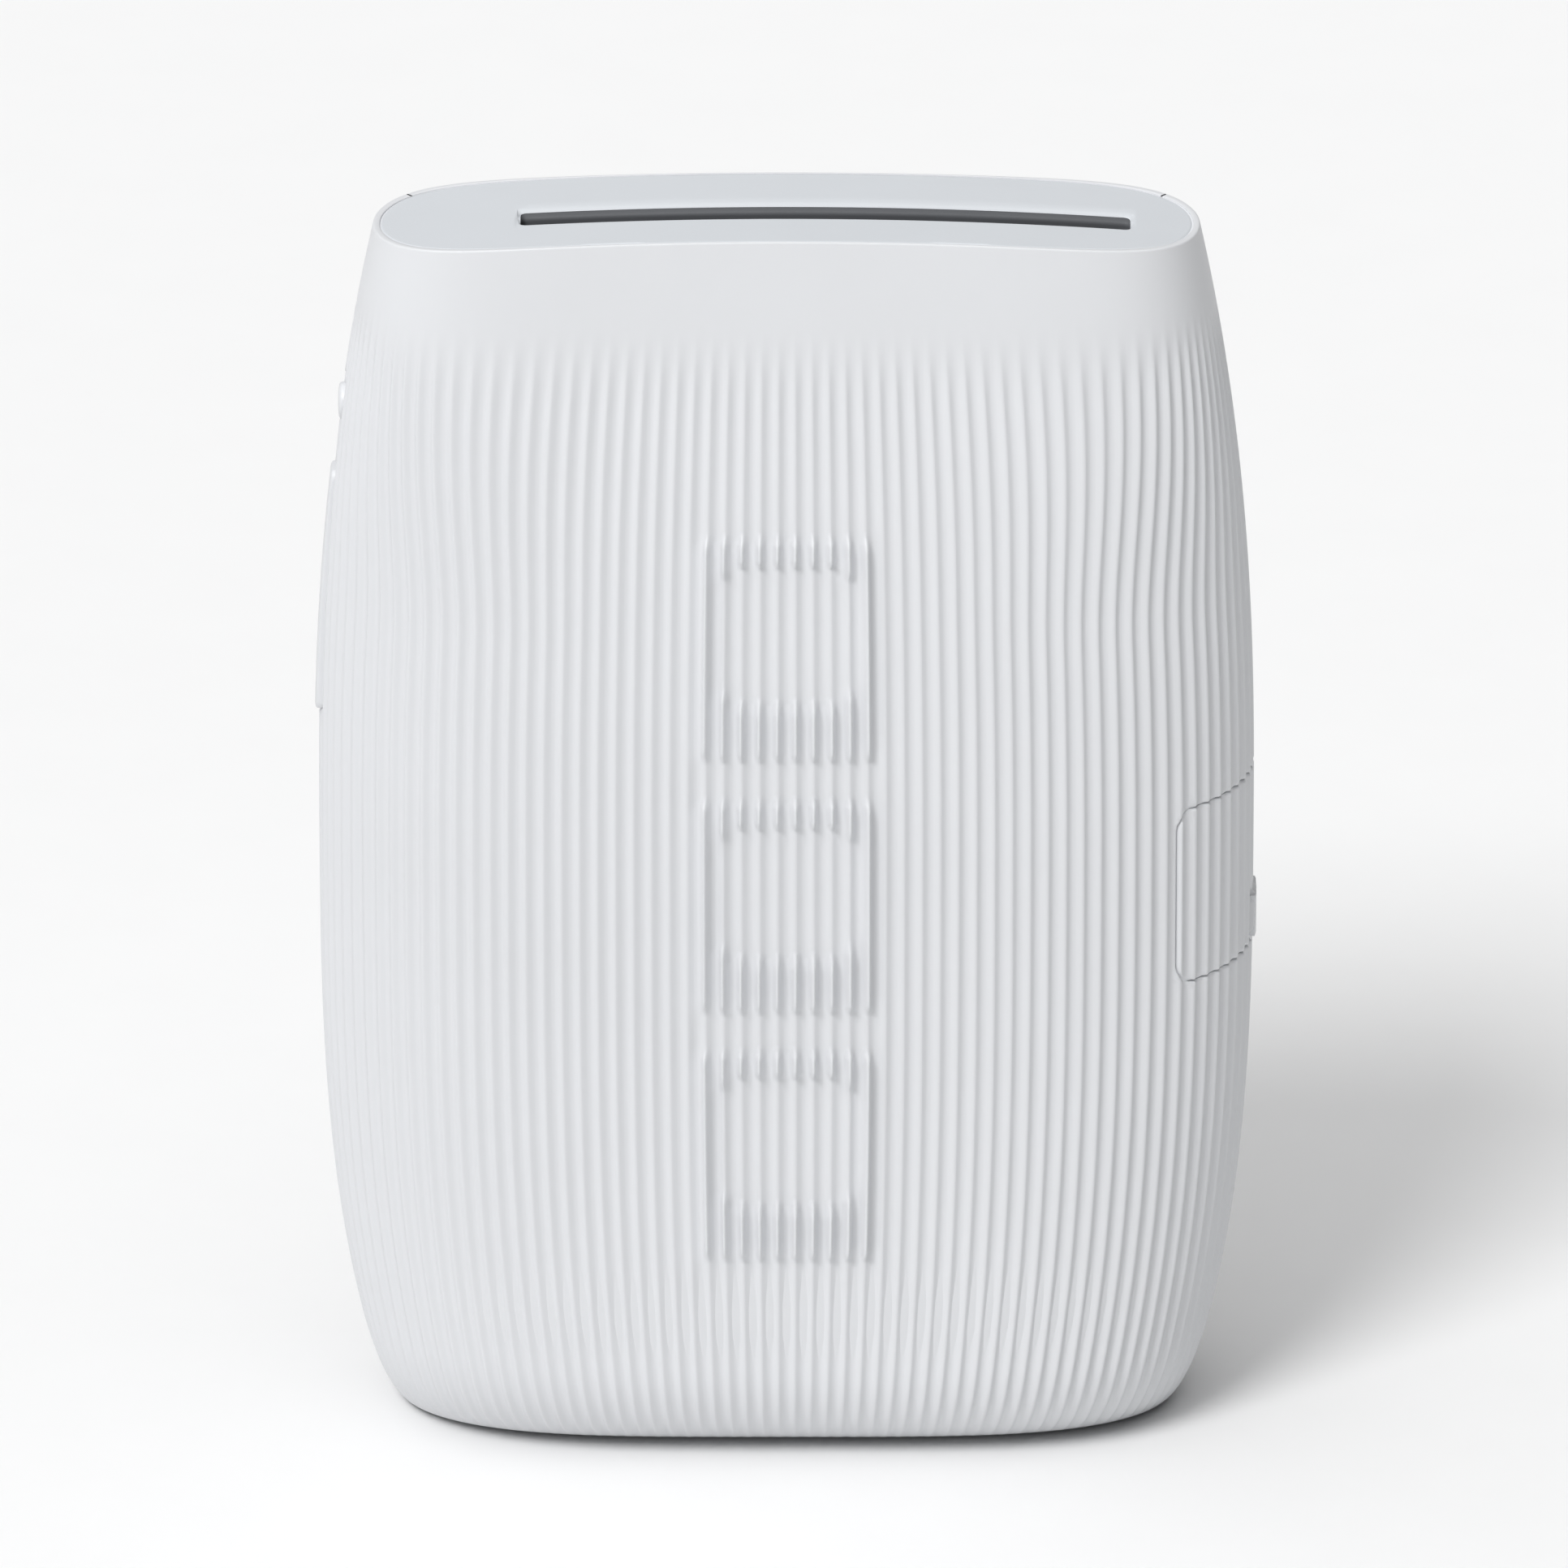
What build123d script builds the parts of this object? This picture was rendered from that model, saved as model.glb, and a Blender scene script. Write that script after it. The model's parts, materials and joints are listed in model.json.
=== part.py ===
"""Pocket printer for instant film: slim ribbed case, film slot on top, film door at the back.

Frame: millimetres, +Z up, +X to the right seen from the front, the front faces -Y.
The origin is the centre of the base.
"""
import math
import os

from build123d import *

# ---- Driving dimensions ---------------------------------------------------------------
HEIGHT = 124.0
HALF_WIDTH = 44.6
HALF_DEPTH = 18.25
WALL = 1.4
LIP = 0.9
SEAM = 0.15

# Outline of the case: widest and deepest level, sizes at the top and at the foot
WIDEST_Z, TOP_HALF_WIDTH, FOOT_HALF_WIDTH = 61.8, 38.7, 38.1
DEEPEST_Z, TOP_HALF_DEPTH, FOOT_HALF_DEPTH = 60.0, 8.62, 18.25
WIDTH_POWER_UP, WIDTH_POWER_DOWN = 2.42, 3.18
DEPTH_POWER_UP, DEPTH_POWER_DOWN = 2.0, 2.6
ROUND_HEIGHT, ROUND_SIDE, ROUND_FRONT = 10.4, 2.3, 10.5
SIDE_ROUND_POWER, FRONT_ROUND_POWER = 2.65, 2.0
SIDE_POWER, TOP_SIDE_POWER, POWER_START_Z = 4.0, 9.3, 85.0
TOP_SAG, SAG_HALF = 1.66, 39.44
PART_LINE_Y = 6.5

# Film path
FILM_X = 3.7
FILM_Y = -1.2
SLOT_WIDTH, SLOT_DEPTH, SLOT_Y = 58.2, 3.2, -0.9
PACK_WIDTH, PACK_DEPTH, PACK_HEIGHT = 61.5, 12.0, 92.0
PACK_FRONT_Y, PACK_BASE_Z = -2.3, 11.0
CHAMBER_WALL = 1.2

# Door
DOOR_LEFT, DOOR_RIGHT, DOOR_BOTTOM, DOOR_TOP = -29.0, 36.4, 9.0, 108.0
DOOR_ROUND = 0.9
DOOR_HINGE_Y, DOOR_HINGE_Z = 17.4, 10.4
HINGE_PIN_R, HINGE_FIT = 0.5, 0.05
EARS, EAR_HALF, EAR_R = (-8.0, 15.4), 1.2, 1.0

# Port cover, on the right
PORT_FRONT_X, PORT_REAR_Y, PORT_LOW_Z, PORT_HIGH_Z = 37.3, 5.6, 48.8, 67.0
PORT_GAP, PORT_Z = 0.12, 58.0

# Latch and button, on the left
LATCH_LOW_Z, LATCH_HIGH_Z, LATCH_HALF = 72.9, 97.5, 2.3
LATCH_PROUD, SPRING_Y = 0.85, 3.4
BUTTON_Z, BUTTON_R, BUTTON_PROUD = 104.2, 1.85, 0.75

# Drive
MODULE, PRESSURE_ANGLE = 0.5, math.radians(25)
PINION_TEETH, BIG_TEETH, SMALL_TEETH, IDLER_TEETH, ROLLER_TEETH = 12, 30, 12, 28, 14
ROLLER_Z, ROLLER_R, SHAFT_R, SHAFT_FIT = 112.0, 3.4, 1.5, 0.04
GEAR_PLANE_A, GEAR_PLANE_B, GEAR_PLANE_C = -31.2, -33.0, -34.8
GEAR_WIDTH = 1.5
PLATE_X, PLATE_THICK = -29.4, 0.8
MOTOR_Y, MOTOR_Z = -8.5, 86.0

os.makedirs("parts", exist_ok=True)


# ---- Form of the case -----------------------------------------------------------------
def swell(z, level, middle, top, foot, power_up, power_down):
    """Half size at height z: widest at the level, smaller at the top and the foot."""
    if z > level:
        return middle - (middle - top) * min((z - level) / (HEIGHT - level), 1) ** power_up
    return middle - (middle - foot) * ((level - z) / level) ** power_down


def section(z):
    """Half width, half depth and side power of the outline at height z."""
    width = swell(z, WIDEST_Z, HALF_WIDTH, TOP_HALF_WIDTH, FOOT_HALF_WIDTH,
                  WIDTH_POWER_UP, WIDTH_POWER_DOWN)
    depth = swell(z, DEEPEST_Z, HALF_DEPTH, TOP_HALF_DEPTH, FOOT_HALF_DEPTH,
                  DEPTH_POWER_UP, DEPTH_POWER_DOWN)
    below = min(max((ROUND_HEIGHT - z) / ROUND_HEIGHT, 0), 1)
    side_edge = 1 - (1 - below ** SIDE_ROUND_POWER) ** (1 / SIDE_ROUND_POWER)
    front_edge = 1 - (1 - below ** FRONT_ROUND_POWER) ** (1 / FRONT_ROUND_POWER)
    rise = min(max((z - POWER_START_Z) / (HEIGHT - POWER_START_Z), 0), 1)
    power = SIDE_POWER + (TOP_SIDE_POWER - SIDE_POWER) * rise * rise * (3 - 2 * rise)
    return width - ROUND_SIDE * side_edge, depth - ROUND_FRONT * front_edge, power


def outline(z, inset, count=44):
    """Points of the closed outline |x/a|^p + |y/b|^2 = 1, evenly spaced along it."""
    width, depth, power = section(z)
    width, depth = width - inset, depth - inset
    fine = []
    for step in range(1441):
        angle = math.tau * step / 1440
        cosine, sine = math.cos(angle), math.sin(angle)
        along = math.copysign(abs(cosine) ** (2 / power), cosine)
        fine.append((width * along, depth * sine))
    runs = [0.0]
    for start, end in zip(fine, fine[1:]):
        runs.append(runs[-1] + math.dist(start, end))
    points = []
    index = 0
    for step in range(count):
        target = runs[-1] * step / count
        while runs[index + 1] < target:
            index += 1
        share = (target - runs[index]) / (runs[index + 1] - runs[index])
        start, end = fine[index], fine[index + 1]
        points.append((start[0] + share * (end[0] - start[0]),
                       start[1] + share * (end[1] - start[1])))
    return points


def depth_at(x, z, inset=0.0):
    """Half depth of the case at one x and z, drawn in by the inset."""
    width, depth, power = section(z)
    return (depth - inset) * math.sqrt(1 - (abs(x) / (width - inset)) ** power)


def width_at(y, z, inset=0.0):
    """Half width of the case at one y and z, drawn in by the inset."""
    width, depth, power = section(z)
    return (width - inset) * (1 - (abs(y) / (depth - inset)) ** 2) ** (1 / power)


def form(inset, levels):
    """Solid of the case's outer form, drawn in by the inset."""
    with BuildPart() as solid:
        for z in levels:
            with BuildSketch(Plane.XY.offset(z)):
                with BuildLine():
                    Spline(*outline(z, inset), periodic=True)
                make_face()
        loft()
    return solid.part


EDGE_LEVELS = [ROUND_HEIGHT * (1 - math.cos(math.pi / 2 * step / 5)) for step in range(6)]
SIDE_LEVELS = [25.0, 42.0, 60.0, 78.0, 92.0, 104.0, 114.0, HEIGHT]
outer_form = form(0, EDGE_LEVELS + SIDE_LEVELS)
proud_form = form(-LATCH_PROUD, [42.0, 60.0, 78.0, 92.0, 104.0, 114.0])


def cavity(inset):
    """Form of the inside, from the floor to above the top."""
    levels = [inset] + [z for z in EDGE_LEVELS if z > inset + 0.8] + SIDE_LEVELS
    return form(inset, levels)


inner_form = cavity(WALL)
clear_form = cavity(WALL + 0.4)
deep_form = cavity(WALL + 1.5)


def block(x, y, z):
    """Box between two limits on each axis."""
    low, size = (x[0], y[0], z[0]), (x[1] - x[0], y[1] - y[0], z[1] - z[0])
    with BuildPart() as solid:
        with Locations(low):
            Box(*size, align=(Align.MIN, Align.MIN, Align.MIN))
    return solid.part


def rod(axis, radius, start, length):
    """Cylinder from a start point along X, Y or Z."""
    planes = {"X": Plane.YZ, "Y": Plane.XZ, "Z": Plane.XY}
    turned = -length if axis == "Y" else length
    with BuildPart() as solid:
        with BuildSketch(Plane(start, planes[axis].x_dir, planes[axis].z_dir)):
            Circle(radius)
        extrude(amount=turned)
    return solid.part


def write(piece, name):
    """Label one finished piece and write it as its own STEP file."""
    piece.part.label = name
    export_step(piece.part, f"parts/{name}.step")


# ---- Case -----------------------------------------------------------------------------
# Everything above the arched top is cut away with this block
ARC_REACH = 60.0
ARC_DROP = TOP_SAG * (ARC_REACH / SAG_HALF) ** 2
with BuildPart() as above_top:
    with BuildSketch(Plane.XZ.offset(-40)):
        with BuildLine():
            arc = ThreePointArc((-ARC_REACH, HEIGHT - ARC_DROP), (0, HEIGHT), (ARC_REACH, HEIGHT - ARC_DROP))
            Polyline(arc @ 1, (ARC_REACH, HEIGHT + 20), (-ARC_REACH, HEIGHT + 20), arc @ 0)
        make_face()
    extrude(amount=80)

# Opening in the top that the cap closes
CAP_POCKET_Z = 121.0
with BuildPart() as cap_pocket:
    with BuildSketch(Plane.XY.offset(CAP_POCKET_Z)):
        with BuildLine():
            Spline(*outline(HEIGHT, LIP), periodic=True)
        make_face()
    extrude(amount=10)

# Window for the film door, right through the back
door_window = block((DOOR_LEFT, DOOR_RIGHT), (PART_LINE_Y, 30), (DOOR_BOTTOM, DOOR_TOP))

# Window for the port cover, with rounded corners
with BuildPart() as port_window:
    with BuildSketch(Plane.YZ.offset(PORT_FRONT_X)):
        with Locations(((PORT_REAR_Y - 20) / 2, (PORT_LOW_Z + PORT_HIGH_Z) / 2)):
            RectangleRounded(PORT_REAR_Y + 20, PORT_HIGH_Z - PORT_LOW_Z, 2)
    extrude(amount=12)

with BuildPart() as shell:
    add(outer_form)
    add(inner_form, mode=Mode.SUBTRACT)
    add(above_top.part, mode=Mode.SUBTRACT)
    add(cap_pocket.part, mode=Mode.SUBTRACT)

# Screw posts reach from the front wall to the chassis; their screws come in from behind
POSTS = [(-36.5, 30.0), (-36.5, 66.0), (39.6, 30.0), (39.4, 80.0)]
POST_R, SCREW_R, POST_END_Y = 2.2, 0.8, 4.6

with BuildPart() as posts:
    with BuildSketch(Plane.XZ.offset(-POST_END_Y)):
        with Locations(*POSTS):
            Circle(POST_R)
    extrude(amount=30)
    add(outer_form, mode=Mode.INTERSECT)
    with BuildSketch(Plane.XZ.offset(-POST_END_Y)):
        with Locations(*POSTS):
            Circle(SCREW_R)
    extrude(amount=6, mode=Mode.SUBTRACT)

with BuildPart() as front_shell:
    add(shell.part)
    split(bisect_by=Plane.XZ.offset(-PART_LINE_Y), keep=Keep.TOP)
    add(posts.part)
    add(port_window.part, mode=Mode.SUBTRACT)
    # Slot for the latch stem and hole for the power button, both in the left wall
    add(block((-50, -35), (-1.2, 1.2), (LATCH_LOW_Z + 3.1, LATCH_HIGH_Z - 1.0)), mode=Mode.SUBTRACT)
    add(rod("X", BUTTON_R + 0.1, (-50, 0, BUTTON_Z), 12), mode=Mode.SUBTRACT)
    # Shallow recess that clears the front roller's gear
    add(rod("X", 4.15, (GEAR_PLANE_C - 0.25, FILM_Y - ROLLER_TEETH * MODULE / 2, ROLLER_Z), 3.8),
        mode=Mode.SUBTRACT)
    # Peg above the latch's return spring
    add(block((-43.5, -38.6), (SPRING_Y - 1.2, SPRING_Y + 1.2), (93.1, 94.3)) & outer_form)
write(front_shell, "front_shell")

# The rear shell carries two hinge ears on its lower edge and four screw sleeves
with BuildPart() as rear_shell:
    add(shell.part)
    split(bisect_by=Plane.XZ.offset(-PART_LINE_Y), keep=Keep.BOTTOM)
    add(door_window, mode=Mode.SUBTRACT)
    for x, z in POSTS:
        add(rod("Y", POST_R, (x, POST_END_Y + 0.1, z), 12) & inner_form)
        add(rod("Y", SCREW_R + 0.15, (x, POST_END_Y, z), 3), mode=Mode.SUBTRACT)
        add(rod("Y", SCREW_R + 0.9, (x, PART_LINE_Y + 0.5, z), 20), mode=Mode.SUBTRACT)
    for x in EARS:
        ear = (x - EAR_HALF, x + EAR_HALF)
        add(block(ear, (DOOR_HINGE_Y - EAR_R, DOOR_HINGE_Y + EAR_R), (7.0, DOOR_HINGE_Z)) & outer_form)
        add(rod("X", EAR_R, (x - EAR_HALF, DOOR_HINGE_Y, DOOR_HINGE_Z), 2 * EAR_HALF))
        add(rod("X", HINGE_PIN_R, (x - 2, DOOR_HINGE_Y, DOOR_HINGE_Z), 4), mode=Mode.SUBTRACT)
write(rear_shell, "rear_shell")

# ---- Top cap --------------------------------------------------------------------------
SLOT_LEFT, SLOT_RIGHT = FILM_X - SLOT_WIDTH / 2, FILM_X + SLOT_WIDTH / 2
CHUTE_WALL, CHUTE_Z = 1.2, 117.2
with BuildPart() as top_cap:
    with BuildSketch(Plane.XY.offset(CAP_POCKET_Z)):
        with BuildLine():
            Spline(*outline(HEIGHT, LIP + SEAM), periodic=True)
        make_face()
    extrude(amount=10)
    with BuildSketch(Plane.XY.offset(CHUTE_Z)):
        with Locations((FILM_X, SLOT_Y)):
            Rectangle(SLOT_WIDTH + 2 * CHUTE_WALL, SLOT_DEPTH + 2 * CHUTE_WALL)
    extrude(until=Until.NEXT)
    add(above_top.part, mode=Mode.SUBTRACT)
    with BuildSketch(Plane.XY.offset(CHUTE_Z - 1)):
        with Locations((FILM_X, SLOT_Y)):
            RectangleRounded(SLOT_WIDTH, SLOT_DEPTH, 0.7)
    extrude(amount=20, mode=Mode.SUBTRACT)
write(top_cap, "top_cap")

# Two felt strips deep in the slot keep light off the film
FELT = 0.7
with BuildPart() as slot_light_seal:
    for y in (SLOT_Y - SLOT_DEPTH / 2, SLOT_Y + SLOT_DEPTH / 2 - FELT):
        add(block((SLOT_LEFT + 0.7, SLOT_RIGHT - 0.7), (y, y + FELT), (CHUTE_Z, CHUTE_Z + 1.6)))
write(slot_light_seal, "slot_light_seal")

# ---- Film chamber ---------------------------------------------------------------------
PACK_LEFT, PACK_RIGHT = FILM_X - PACK_WIDTH / 2, FILM_X + PACK_WIDTH / 2
PACK_BACK_Y, PACK_TOP_Z = PACK_FRONT_Y + PACK_DEPTH, PACK_BASE_Z + PACK_HEIGHT
CHAMBER_FRONT_Y = PACK_FRONT_Y - CHAMBER_WALL
with BuildPart() as film_chamber:
    add(block((PACK_LEFT - CHAMBER_WALL, PACK_RIGHT + CHAMBER_WALL), (CHAMBER_FRONT_Y, PACK_BACK_Y),
              (PACK_BASE_Z - CHAMBER_WALL, PACK_TOP_Z + CHAMBER_WALL)))
    add(clear_form, mode=Mode.INTERSECT)
    add(block((PACK_LEFT, PACK_RIGHT), (PACK_FRONT_Y, 20), (PACK_BASE_Z, PACK_TOP_Z)), mode=Mode.SUBTRACT)
    add(block((FILM_X - 28, FILM_X + 28), (FILM_Y - 0.8, FILM_Y + 0.8), (100, 110)), mode=Mode.SUBTRACT)
    # Slot for the claw, and flanges that take the four screws of the front shell
    add(block((PACK_RIGHT - 1, PACK_RIGHT + 2), (FILM_Y - 0.8, FILM_Y + 0.8), (12.5, 22)), mode=Mode.SUBTRACT)
    # Foot that stands on the floor of the case
    add(block((-20, 26), (-3.5, -1.0), (WALL, PACK_BASE_Z - CHAMBER_WALL)))
write(film_chamber, "film_chamber")

with BuildPart() as chamber_light_seal:
    add(block((PACK_LEFT - 0.9, PACK_RIGHT + 0.5), (PACK_BACK_Y, PACK_BACK_Y + 0.6),
              (PACK_BASE_Z - 0.9, PACK_TOP_Z - 8)))
    add(block((PACK_LEFT, PACK_RIGHT - 0.4), (PACK_BACK_Y - 1, PACK_BACK_Y + 1), (PACK_BASE_Z, PACK_TOP_Z)),
        mode=Mode.SUBTRACT)
write(chamber_light_seal, "chamber_light_seal")

# ---- Film door ------------------------------------------------------------------------
DOOR_GAP, DOOR_TOP_GAP, DOOR_FOOT_GAP = 0.15, 0.3, 0.35
HINGE = (DOOR_HINGE_Y, DOOR_HINGE_Z)
KNUCKLE = 2.4
PLATE_Y, DOOR_PLATE_THICK = 12.0, 0.8
with BuildPart() as film_door:
    add(outer_form)
    add(inner_form, mode=Mode.SUBTRACT)
    add(block((DOOR_LEFT + DOOR_GAP, DOOR_RIGHT - DOOR_GAP), (PART_LINE_Y, 30),
              (DOOR_BOTTOM + DOOR_FOOT_GAP, DOOR_TOP - DOOR_TOP_GAP)), mode=Mode.INTERSECT)
    # The lower outer edge is rounded about the hinge, and cut away around the ears
    round_off = block((-30, 38), (DOOR_HINGE_Y, 22), (8, DOOR_HINGE_Z)) - rod("X", DOOR_ROUND, (-31, *HINGE), 70)
    add(round_off, mode=Mode.SUBTRACT)
    for x in EARS:
        add(block((x - EAR_HALF - 0.2, x + EAR_HALF + 0.2), (14, 22), (8, DOOR_HINGE_Z + 1.6)),
            mode=Mode.SUBTRACT)
        start = x + EAR_HALF + 0.2
        add(rod("X", EAR_R, (start, *HINGE), KNUCKLE))
        add(rod("X", HINGE_PIN_R + HINGE_FIT, (start - 1, *HINGE), KNUCKLE + 2), mode=Mode.SUBTRACT)
    # Four posts carry the inner plate, and a lug meets the latch hook
    for x in (FILM_X - 25, FILM_X + 25):
        for z in (28, 82):
            add(rod("Y", 1.6, (x, PLATE_Y + DOOR_PLATE_THICK, z), 5) & outer_form)
    add(block((DOOR_LEFT + 0.4, DOOR_LEFT + 1.6), (11.2, 16.0), (72, 80)) & outer_form)
write(film_door, "film_door")

with BuildPart() as hinge_pins:
    for x in EARS:
        add(rod("X", HINGE_PIN_R, (x - EAR_HALF, *HINGE), 2 * EAR_HALF + 0.2 + KNUCKLE))
write(hinge_pins, "hinge_pins")

PAD_XS, PAD_Z, PAD_FACE_Y, PAD_THICK, STEM_R = (FILM_X - 14, FILM_X + 14), 55.0, 10.0, 0.7, 1.5
with BuildPart() as door_plate:
    add(block((FILM_X - 27.6, FILM_X + 27.6), (PLATE_Y, PLATE_Y + DOOR_PLATE_THICK), (24, 86)))
    for x in PAD_XS:
        add(rod("Y", STEM_R + 0.05, (x, PLATE_Y - 1, PAD_Z), 3), mode=Mode.SUBTRACT)
        add(block((x - 4, x + 4), (PLATE_Y - 1, 14), (30, 44)), mode=Mode.SUBTRACT)
        add(block((x - 4, x + 4), (PLATE_Y - 1, 14), (66, 80)), mode=Mode.SUBTRACT)
write(door_plate, "door_plate")

for side, x in zip(("left", "right"), PAD_XS):
    with BuildPart() as pressure_pad:
        with BuildSketch(Plane.XZ.offset(-PAD_FACE_Y)):
            with Locations((x, PAD_Z)):
                RectangleRounded(11, 50, 2.5)
        extrude(amount=-PAD_THICK)
        add(rod("Y", STEM_R, (x, PAD_FACE_Y + PAD_THICK, PAD_Z), 2.4))
    write(pressure_pad, f"pressure_pad_{side}")
    # Wire spring: two coils round the stem, between pad and plate
    with BuildPart() as pad_spring:
        for step in range(3):
            with BuildSketch(Plane.XZ.offset(-(PAD_FACE_Y + PAD_THICK + 0.05 + 0.42 * step))):
                with Locations((x, PAD_Z)):
                    Circle(2.6)
                    Circle(1.9, mode=Mode.SUBTRACT)
            extrude(amount=-0.3)
        for step in range(2):
            y = PAD_FACE_Y + PAD_THICK + 0.3 + 0.42 * step
            shift = 2.25 if step else -2.25
            add(block((x + shift - 0.2, x + shift + 0.2), (y, y + 0.22), (PAD_Z - 0.4, PAD_Z + 0.4)))
    write(pad_spring, f"pad_spring_{side}")

# ---- Right side: port cover, bezel, socket -----------------------------------------------
BEAD, BEAD_R = (37.77, -12.72), 0.35
with BuildPart() as port_cover:
    with BuildSketch(Plane.YZ.offset(PORT_FRONT_X + PORT_GAP)):
        with Locations(((PORT_REAR_Y - 20) / 2, (PORT_LOW_Z + PORT_HIGH_Z) / 2)):
            RectangleRounded(PORT_REAR_Y + 20 - 2 * PORT_GAP, PORT_HIGH_Z - PORT_LOW_Z - 2 * PORT_GAP, 1.9)
    extrude(amount=12)
    add(outer_form, mode=Mode.INTERSECT)
    add(inner_form, mode=Mode.SUBTRACT)
    # Finger nub at the lower end
    add(block((HALF_WIDTH - 1.2, HALF_WIDTH + 0.7), (-2.5, 2.5), (49.4, 53.6)) & proud_form)
    # Hinge bead along the front edge
    add(rod("Z", BEAD_R, (*BEAD, PORT_LOW_Z + 2.2), PORT_HIGH_Z - PORT_LOW_Z - 4.4))
write(port_cover, "port_cover")

SOCKET_Y, SOCKET_HALF_Y, SOCKET_HALF_Z, SOCKET_MOUTH_X = -6.6, 1.6, 4.47, 39.9
BOARD_FRONT_Y, BOARD_BACK_Y = -5.0, -4.0
with BuildPart() as port_bezel:
    add(block((34.5, 46), (-13.0, 6.2), (46.8, 69.0)))
    add(clear_form, mode=Mode.INTERSECT)
    add(deep_form, mode=Mode.SUBTRACT)
    add(block((38, 46), (SOCKET_Y - SOCKET_HALF_Y - 0.1, SOCKET_Y + SOCKET_HALF_Y + 0.1),
              (PORT_Z - SOCKET_HALF_Z - 0.1, PORT_Z + SOCKET_HALF_Z + 0.1)), mode=Mode.SUBTRACT)
write(port_bezel, "port_bezel")

with BuildPart() as usb_socket:
    with BuildSketch(Plane.YZ.offset(33.4)):
        with Locations((SOCKET_Y, PORT_Z)):
            RectangleRounded(2 * SOCKET_HALF_Y, 2 * SOCKET_HALF_Z, 1.5)
    extrude(amount=SOCKET_MOUTH_X - 33.4)
    with BuildSketch(Plane.YZ.offset(34.4)):
        with Locations((SOCKET_Y, PORT_Z)):
            RectangleRounded(2 * SOCKET_HALF_Y - 0.5, 2 * SOCKET_HALF_Z - 0.5, 1.25)
            Rectangle(0.7, 6.6, mode=Mode.SUBTRACT)
    extrude(amount=10, mode=Mode.SUBTRACT)
write(usb_socket, "usb_socket")

# ---- Left side: latch and power button -----------------------------------------------------
with BuildPart() as latch_slider:
    with BuildSketch(Plane.YZ.offset(-50)):
        with Locations((0, (LATCH_LOW_Z + LATCH_HIGH_Z) / 2)):
            RectangleRounded(2 * LATCH_HALF, LATCH_HIGH_Z - LATCH_LOW_Z, 1.0)
    extrude(amount=15)
    add(proud_form, mode=Mode.INTERSECT)
    add(outer_form, mode=Mode.SUBTRACT)
    # Stem through the wall; the hook is screwed to its end
    stem = block((-50, -40.4), (-1.0, 1.0), (LATCH_LOW_Z + 3.6, LATCH_LOW_Z + 19.6))
    add(stem & proud_form)
write(latch_slider, "latch_slider")

HOOK_X = (-40.4, -39.2)
with BuildPart() as latch_hook:
    add(block(HOOK_X, (-2.4, 5.5), (LATCH_LOW_Z + 3.6, LATCH_LOW_Z + 9.6)))
    add(block((HOOK_X[0], -29.8), (4.3, 5.5), (LATCH_LOW_Z + 3.6, LATCH_LOW_Z + 7.0)))
    add(block((-31.0, -29.8), (4.3, 12.6), (LATCH_LOW_Z + 3.6, LATCH_LOW_Z + 5.6)))
    add(block((-31.0, -29.2), (11.6, 12.6), (LATCH_LOW_Z + 3.6, LATCH_LOW_Z + 5.6)))
write(latch_hook, "latch_hook")


def coil(radius, wire, pitch, turns, start):
    """Round wire wound upwards from a start point on its axis."""
    with BuildPart() as spring:
        with BuildLine() as path:
            Helix(pitch=pitch, height=pitch * turns, radius=radius, center=start)
        with BuildSketch(Plane(path.line @ 0, z_dir=path.line % 0)):
            Circle(wire)
        sweep(is_frenet=True)
    return spring.part


# Return spring: pressed between the hook's upper edge and a peg on the front shell
with BuildPart() as latch_spring:
    add(coil(0.9, 0.2, 1.1, 9, (-39.8, SPRING_Y, LATCH_LOW_Z + 9.85)))
write(latch_spring, "latch_spring")

BUTTON_OUT_X = -width_at(0, BUTTON_Z) - BUTTON_PROUD
with BuildPart() as power_button:
    add(rod("X", BUTTON_R, (BUTTON_OUT_X, 0, BUTTON_Z), 3.0))
    fillet(power_button.edges().filter_by(GeomType.CIRCLE).sort_by(Axis.X)[:1], 0.3)
    add(rod("X", 1.2, (BUTTON_OUT_X + 2.9, 0, BUTTON_Z), 0.5))
    add(rod("X", BUTTON_R + 0.7, (-width_at(0, BUTTON_Z + 3, WALL) + 0.15, 0, BUTTON_Z), 0.5))
write(power_button, "power_button")

BUTTON_END_X = BUTTON_OUT_X + 3.4
SWITCH_X = BUTTON_END_X + 0.6
with BuildPart() as button_switch:
    add(rod("X", 0.9, (SWITCH_X, 0, BUTTON_Z), 0.6))
    add(block((SWITCH_X + 0.6, SWITCH_X + 1.4), (-1.8, 1.8), (BUTTON_Z - 1.8, BUTTON_Z + 1.8)))
write(button_switch, "button_switch")

with BuildPart() as button_board:
    add(block((SWITCH_X + 1.4, SWITCH_X + 2.0), (-4.5, 4.5), (BUTTON_Z - 4.2, BUTTON_Z + 3.4)))
    add(block((SWITCH_X + 1.4, SWITCH_X + 2.0), (-10.5, -4.5), (BUTTON_Z - 4.2, BUTTON_Z - 1.0)) & clear_form)
write(button_board, "button_board")

# ---- Drive: gear plate, gears, rollers, motor --------------------------------------------
ROLLER_GAP_Y = ROLLER_TEETH * MODULE / 2
FRONT_ROLLER = (FILM_Y - ROLLER_GAP_Y, ROLLER_Z)
REAR_ROLLER = (FILM_Y + ROLLER_GAP_Y, ROLLER_Z)
PINION = (MOTOR_Y, MOTOR_Z)


def spacing(first, second):
    """Centre distance of two meshed gears."""
    return MODULE * (first + second) / 2


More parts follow.
